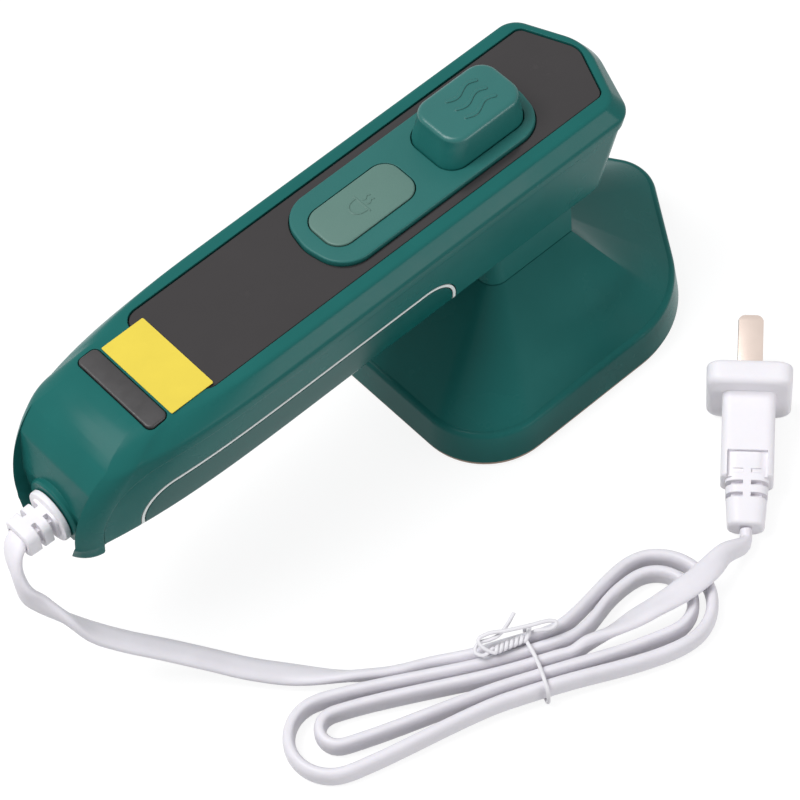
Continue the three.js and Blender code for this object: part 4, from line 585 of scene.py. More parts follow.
# Handle: level outlines from the underside to the top
handle = {
    "topZ": 78.7, "roof": 3.2, "edgeZ": 73.6, "partingZ": 70.4, "partingStep": 0.35,
    "bottomZ": 47.0, "bottomFillet": 2.0, "rimHalf": 18.6, "edgeHalf": 21.5, "partingHalf": 21.1,
    "bottomHalf": 18.4, "rearX": -142.6, "rearTopX": -118.0, "rearKneeZ": 50.0,
    "rearRadiusLow": 8.8, "rearRadiusTop": 13.0, "rearHalfLoss": 4.0, "taperFromX": -66.0,
    "taperPower": 3.6, "shoulderTopX": 27.5, "shoulderEdgeX": 30.5, "shoulderBottomX": 24.0,
    "noseLength": 8.2, "shoulderRadius": 6.0, "noseRadius": 14.0, "rearPower": 2.3,
    "edgeRound": 0.9, "rimRound": 0.8, "leastRadius": 0.3, "kneeRings": 22, "kneeStart": 0.1,
    "ringSpace": 0.12, "rimSpace": 0.05,
}


def rearAt(z):
    rise = (z - handle["rearKneeZ"]) / (handle["topZ"] - handle["rearKneeZ"])
    share = min(max(rise, 0), 1)
    power = handle["rearPower"]
    fall = 1 - (1 - share ** power) ** (1 / power)
    return mix(handle["rearX"], handle["rearTopX"], fall)


def shoulderAt(z):
    if z < handle["edgeZ"]:
        share = (z - handle["bottomZ"]) / (handle["edgeZ"] - handle["bottomZ"])
        return mix(handle["shoulderBottomX"], handle["shoulderEdgeX"], max(share, 0))
    share = (z - handle["edgeZ"]) / (handle["topZ"] - handle["edgeZ"])
    return mix(handle["shoulderEdgeX"], handle["shoulderTopX"], min(share, 1))


handleSide = [
    (handle["bottomHalf"] - handle["bottomFillet"], handle["bottomZ"]),
    (handle["bottomHalf"], handle["bottomZ"] + handle["bottomFillet"]),
    (handle["partingHalf"], handle["partingZ"]),
    (handle["edgeHalf"], handle["edgeZ"]),
    (handle["rimHalf"], handle["topZ"]),
]


def halfAt(z):
    halves, heights = zip(*handleSide)
    return float(np.interp(z, heights, halves))


# The side profile as (half width, height), with a small arc at the side edge and at the rim,
# but none in a form inset by more than a millimetre. More heights follow the rear end's curve.
def sideProfile(distance, down):
    low, high = handle["bottomZ"] + distance, handle["topZ"] - down
    corners = [(halfAt(low), low)]
    corners += [p for p in handleSide if low + gap < p[1] < high - gap]
    corners += [(halfAt(high), high), (0.0, high)]
    profile = []
    for i, (half, z) in enumerate(corners[:-1]):
        if i == 0 or distance > 1:
            profile.append((half, z))
            continue
        last, here, following = (np.array(corners[i + k]) for k in (-1, 0, 1))
        reach = handle["rimRound"] if i == len(corners) - 2 else handle["edgeRound"]
        reach = min(reach, np.linalg.norm(last - here) / 3)
        start, end = here + unit(last - here) * reach, here + unit(following - here) * reach
        for t in np.linspace(0, 1, 6):
            profile.append(tuple((1 - t) ** 2 * start + 2 * t * (1 - t) * here + t ** 2 * end))
    halves, heights = zip(*profile)
    span = handle["topZ"] - handle["rearKneeZ"]
    for t in np.linspace(handle["kneeStart"], math.pi / 2, handle["kneeRings"])[:-1]:
        z = handle["rearKneeZ"] + span * math.sin(t) ** (2 / handle["rearPower"])
        nearest = min(abs(z - h) for h in heights)
        if low + gap < z < high - handle["rimSpace"] and nearest > handle["ringSpace"]:
            profile.append((float(np.interp(z, heights, halves)), z))
    profile.sort(key=lambda p: p[1])
    return profile


# The outline narrows towards the rear along a power law, then turns round the rear corner.
def handleOutline(z, distance, steps=16):
    half = halfAt(z) - distance
    rearX = rearAt(z) + distance
    shoulderX = shoulderAt(z) - distance
    noseX = shoulderX + handle["noseLength"]
    loss = handle["rearHalfLoss"]
    rise = (z - handle["bottomZ"]) / (handle["topZ"] - handle["bottomZ"])
    radius = mix(handle["rearRadiusLow"], handle["rearRadiusTop"], rise ** 2) - distance
    radius = max(radius, handle["leastRadius"])
    right = [(rearX + radius * (1 - c), -(half - loss) + radius * (1 - s))
             for s, c in quarter(steps + 1)]
    for k in range(1, steps + 1):
        share = k / steps
        x = mix(rearX + radius, handle["taperFromX"], share)
        right.append((x, -(half - loss * (1 - share) ** handle["taperPower"])))
    square = handle["leastRadius"]
    front = roundedOutline([
        (handle["taperFromX"], half, square), (handle["taperFromX"], -half, square),
        (shoulderX, -half, handle["shoulderRadius"]), (noseX, 0, handle["noseRadius"]),
        (shoulderX, half, handle["shoulderRadius"]),
    ], steps)
    # The two square corners come first, so the nose is the fourth, and its middle is the apex.
    apex = 3 * (steps + 1) + steps // 2
    right += [tuple(p) for p in front[2 * (steps + 1):apex]]
    return bothSides(right, front[apex][0])


# The handle inset by a distance at its sides, and by another from above
def handleForm(name, distance, down):
    rings = []
    for half, z in sideProfile(distance, down):
        rings.append(at(handleOutline(z, distance + halfAt(z) - half), z))
    return loftPiece(name, rings)


recess = {
    "half": 14.4, "lowHalf": 10.4, "frontX": -117.5, "bendX": -128.5, "bendZ": 77.4,
    "foldX": -135.0, "foldZ": 68.8, "foldReach": 0.7, "wallX": -137.2, "lipZ": 58.0,
    "bossX": -138.4, "bossRadius": 8.8, "bossZ": 52.2, "bossEdge": 0.5, "footInset": 3.4,
    "underInset": 1.2, "flare": 0.6, "flareHigh": 4.0, "cornerRadius": 0.3,
}
parting = {"kneeX": -116.0, "rearX": -134.8, "depth": 17.0}


def abovePartingLine(lower):
    frontX = handle["shoulderEdgeX"] + handle["noseLength"] + past
    points = [(frontX, handle["partingZ"] - lower)]
    for s, c in quarter(25):
        x = mix(parting["kneeX"], parting["rearX"], s) + lower
        points.append((x, handle["partingZ"] - lower - parting["depth"] * (1 - c)))
    low, high, back = handle["bottomZ"] - below, handle["topZ"] + past, handle["rearX"] - past
    points += [(parting["rearX"] + lower, low), (back, low), (back, high), (frontX, high)]
    return sidePrism("above", points, handle["edgeHalf"] + past)


# The hollow between the cheeks: its floor bends over, folds and drops to the cord's boss
def recessForm(distance):
    r = recess
    top, bend, fold, lip = (np.array(p) + (distance, -distance) for p in (
        (r["frontX"], handle["topZ"]), (r["bendX"], r["bendZ"]), (r["foldX"], r["foldZ"]),
        (r["wallX"], r["lipZ"])))
    lip[1] = r["lipZ"]
    before = fold + unit(bend - fold) * r["foldReach"]
    after = fold + unit(lip - fold) * r["foldReach"]
    low, high, back = handle["bottomZ"] - below, handle["topZ"] + past, handle["rearX"] - past
    points = [(r["frontX"], high)]
    for a, b, c in ((top, bend, before), (before, fold, after)):
        for t in np.linspace(0, 1, 17):
            points.append(tuple((1 - t) ** 2 * a + 2 * t * (1 - t) * b + t ** 2 * c))
    points += [tuple(lip), (lip[0], low), (back, low), (back, high)]
    side = sidePrism("side", points, handle["edgeHalf"])
    # Across, the hollow is a wedge, wider at the top and drawn in at the feet
    rings = []
    for half, z in ((r["lowHalf"] - r["footInset"], low - past),
                    (r["lowHalf"] - r["underInset"], handle["bottomZ"] - past),
                    (r["lowHalf"] + r["flare"], handle["bottomZ"] + r["flareHigh"]),
                    (r["half"], high + past)):
        box = rectangle(back - past, r["frontX"] + handle["edgeHalf"], half + distance,
                        r["cornerRadius"])
        rings.append(at(roundedOutline(box, 2), z))
    return keep(side, loftPiece("wedge", rings))


# Tank sizes, and the white band along its seam; that band's white is a painted highlight along the
# tank's edge
tank = {"rearX": -123.4, "frontX": -27.5, "seamZ": 59.6, "cornerRadius": 9.0, "wall": 1.6,
        "gasketThick": 0.8, "gasketWide": 1.6, "mouthRadius": 0.3, "mouthDrop": 3.2}


def tankRegion(distance):
    rearX, frontX = tank["rearX"] - distance, tank["frontX"] + distance
    topZ, lowZ = tank["seamZ"] + distance, handle["bottomZ"] - past
    radius = tank["cornerRadius"] + distance
    points = [(rearX, lowZ), (frontX, lowZ)]
    points += [(frontX - radius * (1 - c), topZ - radius * (1 - s)) for s, c in quarter(21)]
    points += [(rearX + radius * (1 - s), topZ - radius * (1 - c)) for s, c in quarter(21)]
    return sidePrism("tankRegion", points, handle["edgeHalf"] + past)


# Outlines on the top of the handle
panel = {"rearX": -100.9, "edge": 0.15, "shoulderX": 26.9, "noseLength": 6.3, "half": 15.0,
         "rearRadius": 4.0, "shoulderRadius": 2.5, "noseRadius": 6.0, "thick": 0.9, "sink": 0.3}
bezel = {"rearX": -56.6, "frontX": 13.1, "half": 12.2, "radius": 9.0, "bow": 2.4, "rise": 1.1,
         "edge": 0.5}
steam = {"rearX": -17.2, "frontX": 9.3, "half": 8.7, "rearInset": 1.9, "frontInset": 0.4,
         "sideInset": 0.6, "radius": 5.0, "rise": 10.0, "crown": 1.3, "flange": 1.4,
         "domeInset": 4.5, "dome": 0.12}
power = {"rearX": -51.9, "frontX": -24.6, "half": 6.7, "radius": 4.6, "rise": 0.35, "edge": 0.4,
         "flange": 1.2}
filler = {"rearX": -116.5, "frontX": -110.6, "half": 13.5, "centreY": -0.6, "radius": 1.6,
          "seatDepth": 1.2, "capEdge": 0.45, "capRise": 0.35, "mouthX": 4.5, "mouthHalf": 6.2,
          "mouthRadius": 0.6, "plugInset": 0.45, "plugDepth": 1.6, "underEdge": 0.2}
label = {"rearX": -109.9, "frontX": -97.2, "half": 13.0, "centreY": -1.4, "radius": 0.35,
         "thick": 0.2}


# Two rear corners, two shoulders and a nose
def nosedCorners(s, noseX):
    right, left = ([(s["rearX"], y, s["rearRadius"]), (s["shoulderX"], y, s["shoulderRadius"])]
                   for y in (-s["half"], s["half"]))
    return right + [(noseX, 0, s["noseRadius"])] + left[::-1]


def panelOutline(distance):
    noseX = panel["shoulderX"] + panel["noseLength"]
    return insetOutline(nosedCorners(panel, noseX), distance, 14)


def bezelOutline(distance):
    b = bezel
    corners = rectangle(b["rearX"] + b["bow"], b["frontX"] - b["bow"], b["half"], b["radius"])
    corners = corners[:2] + [(b["frontX"], 0, b["half"])] + corners[2:]
    corners += [(b["rearX"], 0, b["half"])]
    return insetOutline(corners, distance, 14)


def boxOutline(s, distance, steps=12):
    corners = rectangle(s["rearX"], s["frontX"], s["half"], s["radius"], s.get("centreY", 0.0))
    return insetOutline(corners, distance, steps)


def buttonHoles(low, high):
    return [prismPiece("hole", boxOutline(s, -gap), low, high) for s in (steam, power)]


# The steam button leans in most at its rear end
def steamOutline(share, distance):
    s = steam
    rearX, frontX = s["rearX"] + s["rearInset"] * share, s["frontX"] - s["frontInset"] * share
    half = s["half"] - s["sideInset"] * share
    return insetOutline(rectangle(rearX, frontX, half, s["radius"]), distance, 12)


# A flat stroke of even width along a smooth line, with round ends
def strokePiece(name, points, wide, low, high):
    line = smoothPath([(x, y, 0) for x, y in points], 6)[:, :2]
    side = np.gradient(line, axis=0)
    side = np.column_stack((-side[:, 1], side[:, 0])) / np.linalg.norm(side, axis=1)[:, None]
    half = wide / 2
    turn = np.linspace(0, math.pi, 9)[1:-1]
    ends = []
    for tip, across in ((line[-1], side[-1]), (line[0], -side[0])):
        forward = np.array((across[1], -across[0]))
        ends.append(tip + half * (np.outer(np.cos(turn), across) + np.outer(np.sin(turn), forward)))
    outline = np.concatenate((line + side * half, ends[0], line[::-1] - side[::-1] * half, ends[1]))
    return prismPiece(name, outline[::-1], low, high)


# Wavy strokes beside each other, each one turn of a sine
def wisps(name, mark, topZ):
    strokes = []
    run = np.linspace(-1, 1, 13)
    for k in range(mark["count"]):
        y = mark["y"] + (k - (mark["count"] - 1) / 2) * mark["pitch"]
        points = np.column_stack((mark["x"] + run * mark["length"] / 2,
                                  y + mark["wave"] * np.sin(run * math.pi)))
        strokes.append(strokePiece(name, points, mark["wide"], topZ - mark["root"],
                                   topZ + mark["rise"]))
    return strokes


steamMark = {"x": -2.2, "y": 0.0, "count": 3, "pitch": 3.4, "length": 9.5, "wave": 0.8, "wide": 0.9,
             "rise": 0.22, "root": 0.6}
powerMark = {"x": -36.2, "y": 0.0, "count": 2, "pitch": 1.6, "length": 2.2, "wave": 0.3,
             "wide": 0.4, "rise": 0.12, "root": 0.6}
cupMark = {"bowl": [(-38.2, 2.3), (-40.4, 2.0), (-41.6, 0.9), (-41.6, -0.9), (-40.4, -2.0),
                    (-38.2, -2.3)],
           "rim": [(-38.2, -2.9), (-38.2, 2.9)], "root": 0.3}


def mouthOutline(distance):
    middle = (filler["rearX"] + filler["frontX"]) / 2
    half = filler["mouthX"] / 2
    corners = rectangle(middle - half, middle + half, filler["mouthHalf"], filler["mouthRadius"],
                        filler["centreY"])
    return insetOutline(corners, distance, 6)


skinTop = handle["topZ"] - panel["sink"] - panel["thick"] - gap
roofUnder = handle["topZ"] - handle["roof"]
bezelTop = handle["topZ"] + bezel["rise"]
floorTop = handle["bottomZ"] + handle["partingStep"] + wall
head = {
    "rearX": -40.6, "half": 40.2, "shoulderX": 32.2, "noseX": 58.4, "rearRadius": 20.0,
    "shoulderRadius": 30.0, "noseRadius": 13.0, "skirtFloorZ": 1.5, "rimZ": 12.3, "rimDraft": 0.9,
    "rimFillet": 1.6, "topZ": 38.0, "wall": 2.0, "steps": 20, "lipInset": 0.35, "lipHigh": 0.4,
}
neck = {"rearX": -13.6, "frontX": 13.6, "half": 17.0, "rearRadius": 4.5,
        "floorZ": head["topZ"] + gap, "alongShare": 0.72, "frontShare": 0.72, "leastRadius": 0.3}


def headOutline(distance):
    return insetOutline(nosedCorners(head, head["noseX"]), distance, head["steps"])


# Each point answers one of the head's outline: rear corners to rear corners, and the sharp
# front corners of the neck to the middles of the shoulder arcs.
def neckOutline(distance):
    n, steps = neck, head["steps"]
    rearX, frontX, half = n["rearX"] + distance, n["frontX"] - distance, n["half"] - distance
    radius = max(n["rearRadius"] - distance, n["leastRadius"])
    arcHalf = steps // 2
    right = [(rearX + radius - radius * c, -half + radius - radius * s)
             for s, c in quarter(steps + 1)]
    for k in range(arcHalf):
        share = mix(n["alongShare"], 1, k / arcHalf)
        right.append((mix(rearX + radius, frontX, share), -half))
    for k in range(arcHalf + 1):
        right.append((frontX, -half * (1 - n["frontShare"] * k / arcHalf)))
    for k in range(arcHalf):
        right.append((frontX, -half * (1 - n["frontShare"]) * (1 - (k + 1) / (arcHalf + 1))))
    return bothSides(right, frontX)


# The cheeks reach a little below the handle, to a rounded foot.
cheek = {"drop": 2.4, "fromZ": 50.5, "round": 2.2, "lean": 0.5, "footX": -134.8, "toe": 3.0}
footZ = handle["bottomZ"] - cheek["drop"]


def footRegion():
    low, high, back = handle["bottomZ"] - below, cheek["fromZ"] + past, handle["rearX"] - past
    points = [(back, low)]
    for s, c in quarter(13):
        points.append((cheek["footX"] - cheek["toe"] * (1 - s), footZ + cheek["drop"] * (1 - c)))
    points += [(cheek["footX"], high), (back, high)]
    return sidePrism("footRegion", points, handle["edgeHalf"])


# Holes in the shells: screw seats and bores from below, the swivel sleeve's, the cord's passage
bores = {"places": ((21.5, 10.0), (21.5, -10.0), (-132.3, 9.5), (-132.3, -9.5)),
         "seatRadius": 2.7, "seatDepth": 2.4, "radius": 1.55, "topZ": 60.9, "swivelRadius": 9.3,
         "swivelFloor": 3.0, "coverFloor": 6.0, "neckWall": 2.0,
         "passage": (-129.6, -139.4, 8.6, 7.6)}


def shellPieces():
    outside = handleForm("outside", 0, 0)
    lowerOutside = handleForm("lowerOutside", handle["partingStep"], 0)
    room = handleForm("room", wall + handle["partingStep"], handle["roof"])
    cavity = cut(room, recessForm(wall))
    upper = keep(copyOf(outside), join(abovePartingLine(0), recessForm(wall)))
    rings = []
    for s, c in quarter(7):
        inset = cheek["round"] * (1 - s)
        outline = handleOutline(cheek["fromZ"], inset + cheek["lean"])
        rings.append(at(outline, footZ + cheek["round"] * (1 - c)))
    rings.append(at(handleOutline(cheek["fromZ"], 0), cheek["fromZ"]))
    feet = keep(loftPiece("feet", rings), footRegion())
    cut(join(upper, feet), copyOf(cavity), recessForm(0))
    bossX, bossEdge = recess["bossX"], recess["bossEdge"]
    levels = ((recess["wallX"] + wall, 0), (bossX + bossEdge, 0), (bossX, bossEdge))
    rings = [ringAcross(x, recess["bossRadius"] - inset, recess["bossZ"], 48)
             for x, inset in levels]
    join(upper, keep(loftPiece("boss", rings), copyOf(outside)))
    over, under = handle["topZ"] + past, roofUnder - past
    seatZ = handle["topZ"] - filler["seatDepth"]
    cut(
        upper,
        prismPiece("seat", panelOutline(-gap), skinTop, over),
        *buttonHoles(under, handle["topZ"]),
        prismPiece("capSeat", boxOutline(filler, -gap), seatZ, over),
        prismPiece("mouth", mouthOutline(0), under, over),
        glandBar("passage", *bores["passage"]),
    )
    lower = cut(copyOf(lowerOutside), join(abovePartingLine(gap), recessForm(wall + gap)), cavity)
    join(lower, prismPiece("neck", neckOutline(0), neck["floorZ"], floorTop))
    hollow = prismPiece("neckHollow", neckOutline(bores["neckWall"]),
                        neck["floorZ"] + bores["neckWall"], floorTop + past)
    cut(lower, hollow, tankRegion(2 * gap + tank["gasketThick"]))
    low = handle["bottomZ"]
    for x, y in bores["places"]:
        seat = roundPin("seat", bores["seatRadius"], low - past, low + bores["seatDepth"], x, y)
        cut(lower, seat, roundPin("bore", bores["radius"], low, bores["topZ"], x, y))
    cut(lower, roundPin("swivelHole", bores["swivelRadius"], neck["floorZ"] - past,
                        neck["floorZ"] + bores["swivelFloor"]),
        glandBar("passage", *bores["passage"]))
    tub = keep(copyOf(lowerOutside), tankRegion(0))
    inside = keep(handleForm("inside", handle["partingStep"] + tank["wall"], 0),
                  tankRegion(-tank["wall"]))
    mouth = rectangle(tank["rearX"] + tank["cornerRadius"], tank["frontX"] - tank["cornerRadius"],
                      handle["bottomHalf"] - tank["wall"], tank["mouthRadius"])
    cut(tub, inside, prismPiece("tubMouth", roundedOutline(mouth, 2),
                                tank["seamZ"] - tank["mouthDrop"], tank["seamZ"] + past))
    # A white band in the shell along the tank's seam: its white is a painted highlight for the glint
    # along the tank's edge
    band = cut(tankRegion(gap + tank["gasketThick"]), tankRegion(gap))
    skin = cut(lowerOutside, handleForm("core", handle["partingStep"] + tank["gasketWide"], 0))
    gasket = keep(skin, band)
    bpy.data.objects.remove(outside)
    finishPiece(upper, "upperShell", "handle", "green_shell", ["upper_shell"])
    finishPiece(lower, "lowerShell", "handle", "green_shell", ["lower_shell"])
    finishPiece(tub, "waterTank", "handle", "green_tank", ["water_tank"])
    finishPiece(gasket, "tankSeam", "handle", "white_gasket", ["tank_gasket"])


def circle(radius, x, y, steps):
    turn = np.linspace(0, 2 * math.pi, steps, endpoint=False)
    return np.column_stack((x + radius * np.cos(turn), y + radius * np.sin(turn)))


def roundPin(name, radius, low, high, x=0.0, y=0.0):
    return prismPiece(name, circle(radius, x, y, 32), low, high)


# Bars of rounded section lying along X at the gland's height
gland = {"flangeRadius": 7.0, "flangeThick": 1.6, "z": 51.7, "endX": -149.2, "bodyWide": 9.5,
         "bodyHigh": 8.6, "endWide": 9.0, "endHigh": 8.1, "tailX": -130.6, "tailWide": 8.0,
         "tailHigh": 7.0, "socket": 4.0, "slotWide": 1.2, "slotStart": 1.3, "slotPitch": 3.6,
         "slotRows": 2, "slotReach": 6, "slotRadius": 0.2, "web": 1.5, "coreHalfWide": 2.9,
         "coreHalfHigh": 2.2, "edge": 0.6, "cornerShare": 0.28, "chamfer": 0.15,
         "flangeEdge": 0.45, "flangeBend": 0.13, "cordRoom": 0.25, "socketRadius": 1.2}


def glandRing(x, wide, high):
    radius = min(wide, high) * gland["cornerShare"]
    section = roundedOutline(rectangle(-wide / 2, wide / 2, high / 2, radius), 8)
    return standing(section * (-1, 1), x) + (0, 0, gland["z"])


def glandBar(name, frontX, rearX, wide, high):
    return loftPiece(name, [glandRing(rearX, wide, high), glandRing(frontX, wide, high)])


shellPieces()
stageLine("handle shells, tank and seam")


def headPieces():
    def form(distance):
        h = head
        rings = [at(headOutline(distance), h["skirtFloorZ"] - past)]
        if not distance:
            rings = [at(headOutline(h["lipInset"]), h["skirtFloorZ"]),
                     at(headOutline(0.0), h["skirtFloorZ"] + h["lipHigh"])]
        for s, c in quarter(9):
            side = h["rimDraft"] + h["rimFillet"] * (1 - c)
            z = h["rimZ"] - h["rimFillet"] * (1 - s) - distance
            rings.append(at(headOutline(side + distance), z))
        low, high = rings[-1], at(neckOutline(distance), h["topZ"] - distance)
        for share in np.linspace(0, 1, 9)[1:]:
            rings.append(mix(low, high, share))
        return loftPiece("headForm", rings)

    hole = roundPin("hole", bores["swivelRadius"], head["topZ"] - bores["coverFloor"],
                    head["topZ"] + past)
    cover = cut(form(0), form(head["wall"]), hole)
    finishPiece(cover, "headCover", "head", "green_shell", ["head_cover"], angle=24)


headPieces()
stageLine("head cover")


# Soleplate: a rounded edge, a flat face with steam holes, a body that fits inside the skirt
sole = {"edgeInset": 0.5, "bevel": 1.3, "edgeThick": 1.2, "bodyInset": 3.2, "thick": 3.8,
        "holeRadius": 1.3, "holeInset": 16.0, "holeCount": 18, "holeRearX": -14.0,
        "countersink": 0.5}


def solePiece():
    rings = []
    for s, c in quarter(7):
        inset = sole["edgeInset"] + sole["bevel"] * (1 - s)
        rings.append(at(headOutline(inset), (sole["edgeThick"] - sole["bevel"] / 2) * (1 - c)))
    rings.append(at(headOutline(sole["edgeInset"]), sole["edgeThick"]))
    body = prismPiece("soleBody", headOutline(sole["bodyInset"]), sole["edgeThick"] - gap,
                      sole["thick"])
    plate = join(loftPiece("sole", rings), body)
    track = headOutline(sole["holeInset"])
    track = np.vstack((track, track[:1]))
    run = lengthsAlong(track)
    for mark in np.linspace(0, run[-1], sole["holeCount"], endpoint=False):
        x, y = (float(np.interp(mark, run, track[:, k])) for k in range(2))
        if x > sole["holeRearX"]:
            radius, sink = sole["holeRadius"], sole["countersink"]
            levels = ((-past, radius + sink + past), (sink, radius), (sole["thick"] + past, radius))
            cut(plate, loftPiece("hole", [at(circle(r, x, y, 24), z) for z, r in levels]))
    finishPiece(plate, "soleplateFace", "head", "coated_plate", ["soleplate"])


solePiece()


# A button's foot under the roof of the handle, wider than its hole
def flangeRings(s):
    low = roofUnder - gap - s["flange"]
    foot, high = boxOutline(s, -past), low + s["flange"]
    return [at(foot, low), at(foot, high), at(boxOutline(s, 0), high)]


# Top panel with the opening for the bezel, the bezel, the two buttons and the cap
def topPieces():
    high = handle["topZ"] - panel["sink"]
    low = high - panel["thick"]
    rings = [at(panelOutline(0), low), at(panelOutline(0), high - panel["edge"]),
             at(panelOutline(panel["edge"]), high)]
    opening = prismPiece("opening", bezelOutline(-gap), low - past, high + past)
    plate = cut(loftPiece("panel", rings), opening)
    finishPiece(plate, "topPanel", "handle", "black_panel", ["top_panel"])

    rings = [at(bezelOutline(0), skinTop + gap)]
    rings += crownRings(bezelOutline, bezelTop, bezel["edge"], 6)
    ring = cut(loftPiece("bezel", rings), *buttonHoles(skinTop - past, bezelTop + past))
    finishPiece(ring, "buttonBezel", "handle", "green_bezel", ["button_bezel"])

    s = steam
    shoulder, top = bezelTop + gap, handle["topZ"] + s["rise"]
    rings = flangeRings(s)
    for share in np.linspace(0, 1, 5):
        rings.append(at(steamOutline(share, 0), mix(shoulder, top - s["crown"], share)))
    rings += crownRings(lambda inset: steamOutline(1, inset), top, s["crown"], 9)[1:]
    rings.append(at(steamOutline(1, s["domeInset"]), top + s["dome"]))
    button = join(loftPiece("steam", rings), *wisps("steamWisp", steamMark, top + s["dome"]))
    finishPiece(button, "steamButton", "steam_button", "green_button", ["steam_button"], angle=40)

    p = power
    top = bezelTop + p["rise"]
    rings = flangeRings(p) + crownRings(lambda inset: boxOutline(p, inset), top, p["edge"], 6)
    cup = [strokePiece("cup", cupMark[line], powerMark["wide"], top - cupMark["root"],
                       top + powerMark["rise"]) for line in ("bowl", "rim")]
    button = join(loftPiece("power", rings), *cup, *wisps("powerWisp", powerMark, top))
    finishPiece(button, "powerButton", "power_button", "grey_button", ["power_button"], angle=40)

    f = filler
    seat, top = handle["topZ"] - f["seatDepth"] + gap / 2, handle["topZ"] + f["capRise"]
    rings = [at(boxOutline(f, f["underEdge"]), seat), at(boxOutline(f, 0), seat + f["underEdge"])]
    rings += crownRings(lambda inset: boxOutline(f, inset), top, f["capEdge"], 6)
    stopper = prismPiece("stopper", mouthOutline(f["plugInset"]), seat - f["plugDepth"], seat + gap)
    cap = join(loftPiece("cap", rings), stopper)
    finishPiece(cap, "fillerCap", "filler_cap", "black_cap", ["filler_cap"])


topPieces()
stageLine("panel, bezel, buttons and cap")


# Cord gland: a round flange against the boss, a slotted bar behind it
def glandPiece():
    g = gland
    rearX = recess["bossX"] - gap
    backX, edge, bend = rearX - g["flangeThick"], g["flangeEdge"], g["flangeBend"]
    levels = ((rearX, g["chamfer"]), (rearX - g["chamfer"], 0), (backX + edge, 0),
              (backX + bend, bend), (backX, edge))
    form = loftPiece("gland", [ringAcross(x, g["flangeRadius"] - inset, g["z"], 64)
                               for x, inset in levels])
    startX = rearX - g["flangeThick"] / 2
    rings = []
    for share in (0, 0.5, 0.8):
        wide = mix(g["bodyWide"], g["endWide"], share)
        high = mix(g["bodyHigh"], g["endHigh"], share)
        rings.append(glandRing(mix(startX, g["endX"], share), wide, high))
    for s, c in quarter(6):
        inset = g["edge"] * (1 - c)
        x = g["endX"] + g["edge"] * (1 - s)
        rings.append(glandRing(x, g["endWide"] - 2 * inset, g["endHigh"] - 2 * inset))
    tail = glandBar("tail", g["tailX"], recess["bossX"] - 2 * gap, g["tailWide"], g["tailHigh"])
    join(form, loftPiece("bar", rings), tail)
    half, reach = g["slotWide"] / 2, g["slotReach"]
    low, high = g["z"] - reach, g["z"] + reach
    bands = ((low, high, g["coreHalfWide"]), (g["z"] + g["coreHalfHigh"], high, g["web"]),
             (low, g["z"] - g["coreHalfHigh"], g["web"]))
    firstX = backX - g["slotStart"]
    for k in range(g["slotRows"]):
        x = firstX - k * g["slotPitch"]
        for side in (-1, 1):
            for bottom, top, near in bands:
                corners = rectangle(x - half, x + half, (reach - near) / 2, g["slotRadius"],
                                    side * (near + reach) / 2)
                cut(form, prismPiece("slot", roundedOutline(corners, 3), bottom, top))
    wide, high = cord["wide"] / 2 + g["cordRoom"], cord["thick"] / 2 + g["cordRoom"]
    section = roundedOutline(rectangle(-wide, wide, high, g["socketRadius"]), 6)
    ends = (g["endX"] - past, g["endX"] + g["socket"])
    cut(form, loftPiece("socket", [standing(section, x) + (0, 0, g["z"]) for x in ends]))
    finishPiece(form, "cordGland", "handle", "white_rubber", ["cord_gland"])


glandPiece()


# Plug: relief, body and flange as one moulding along its own axis, with slots and blades
def plugLoft(name, levels, centreZ=0.0, steps=8):
    rings = []
    for x, wide, high, radius in levels:
        corners = rectangle(-wide / 2, wide / 2, high / 2, radius, centreZ)
        rings.append(fromPlug(standing(roundedOutline(corners, steps), x)))
    return loftPiece(name, rings)


def boxOnPlug(name, x, y, z):
    outline = [(y[0], z[0]), (y[1], z[0]), (y[1], z[1]), (y[0], z[1])]
    return loftPiece(name, [fromPlug([(k, a, b) for a, b in outline]) for k in x])


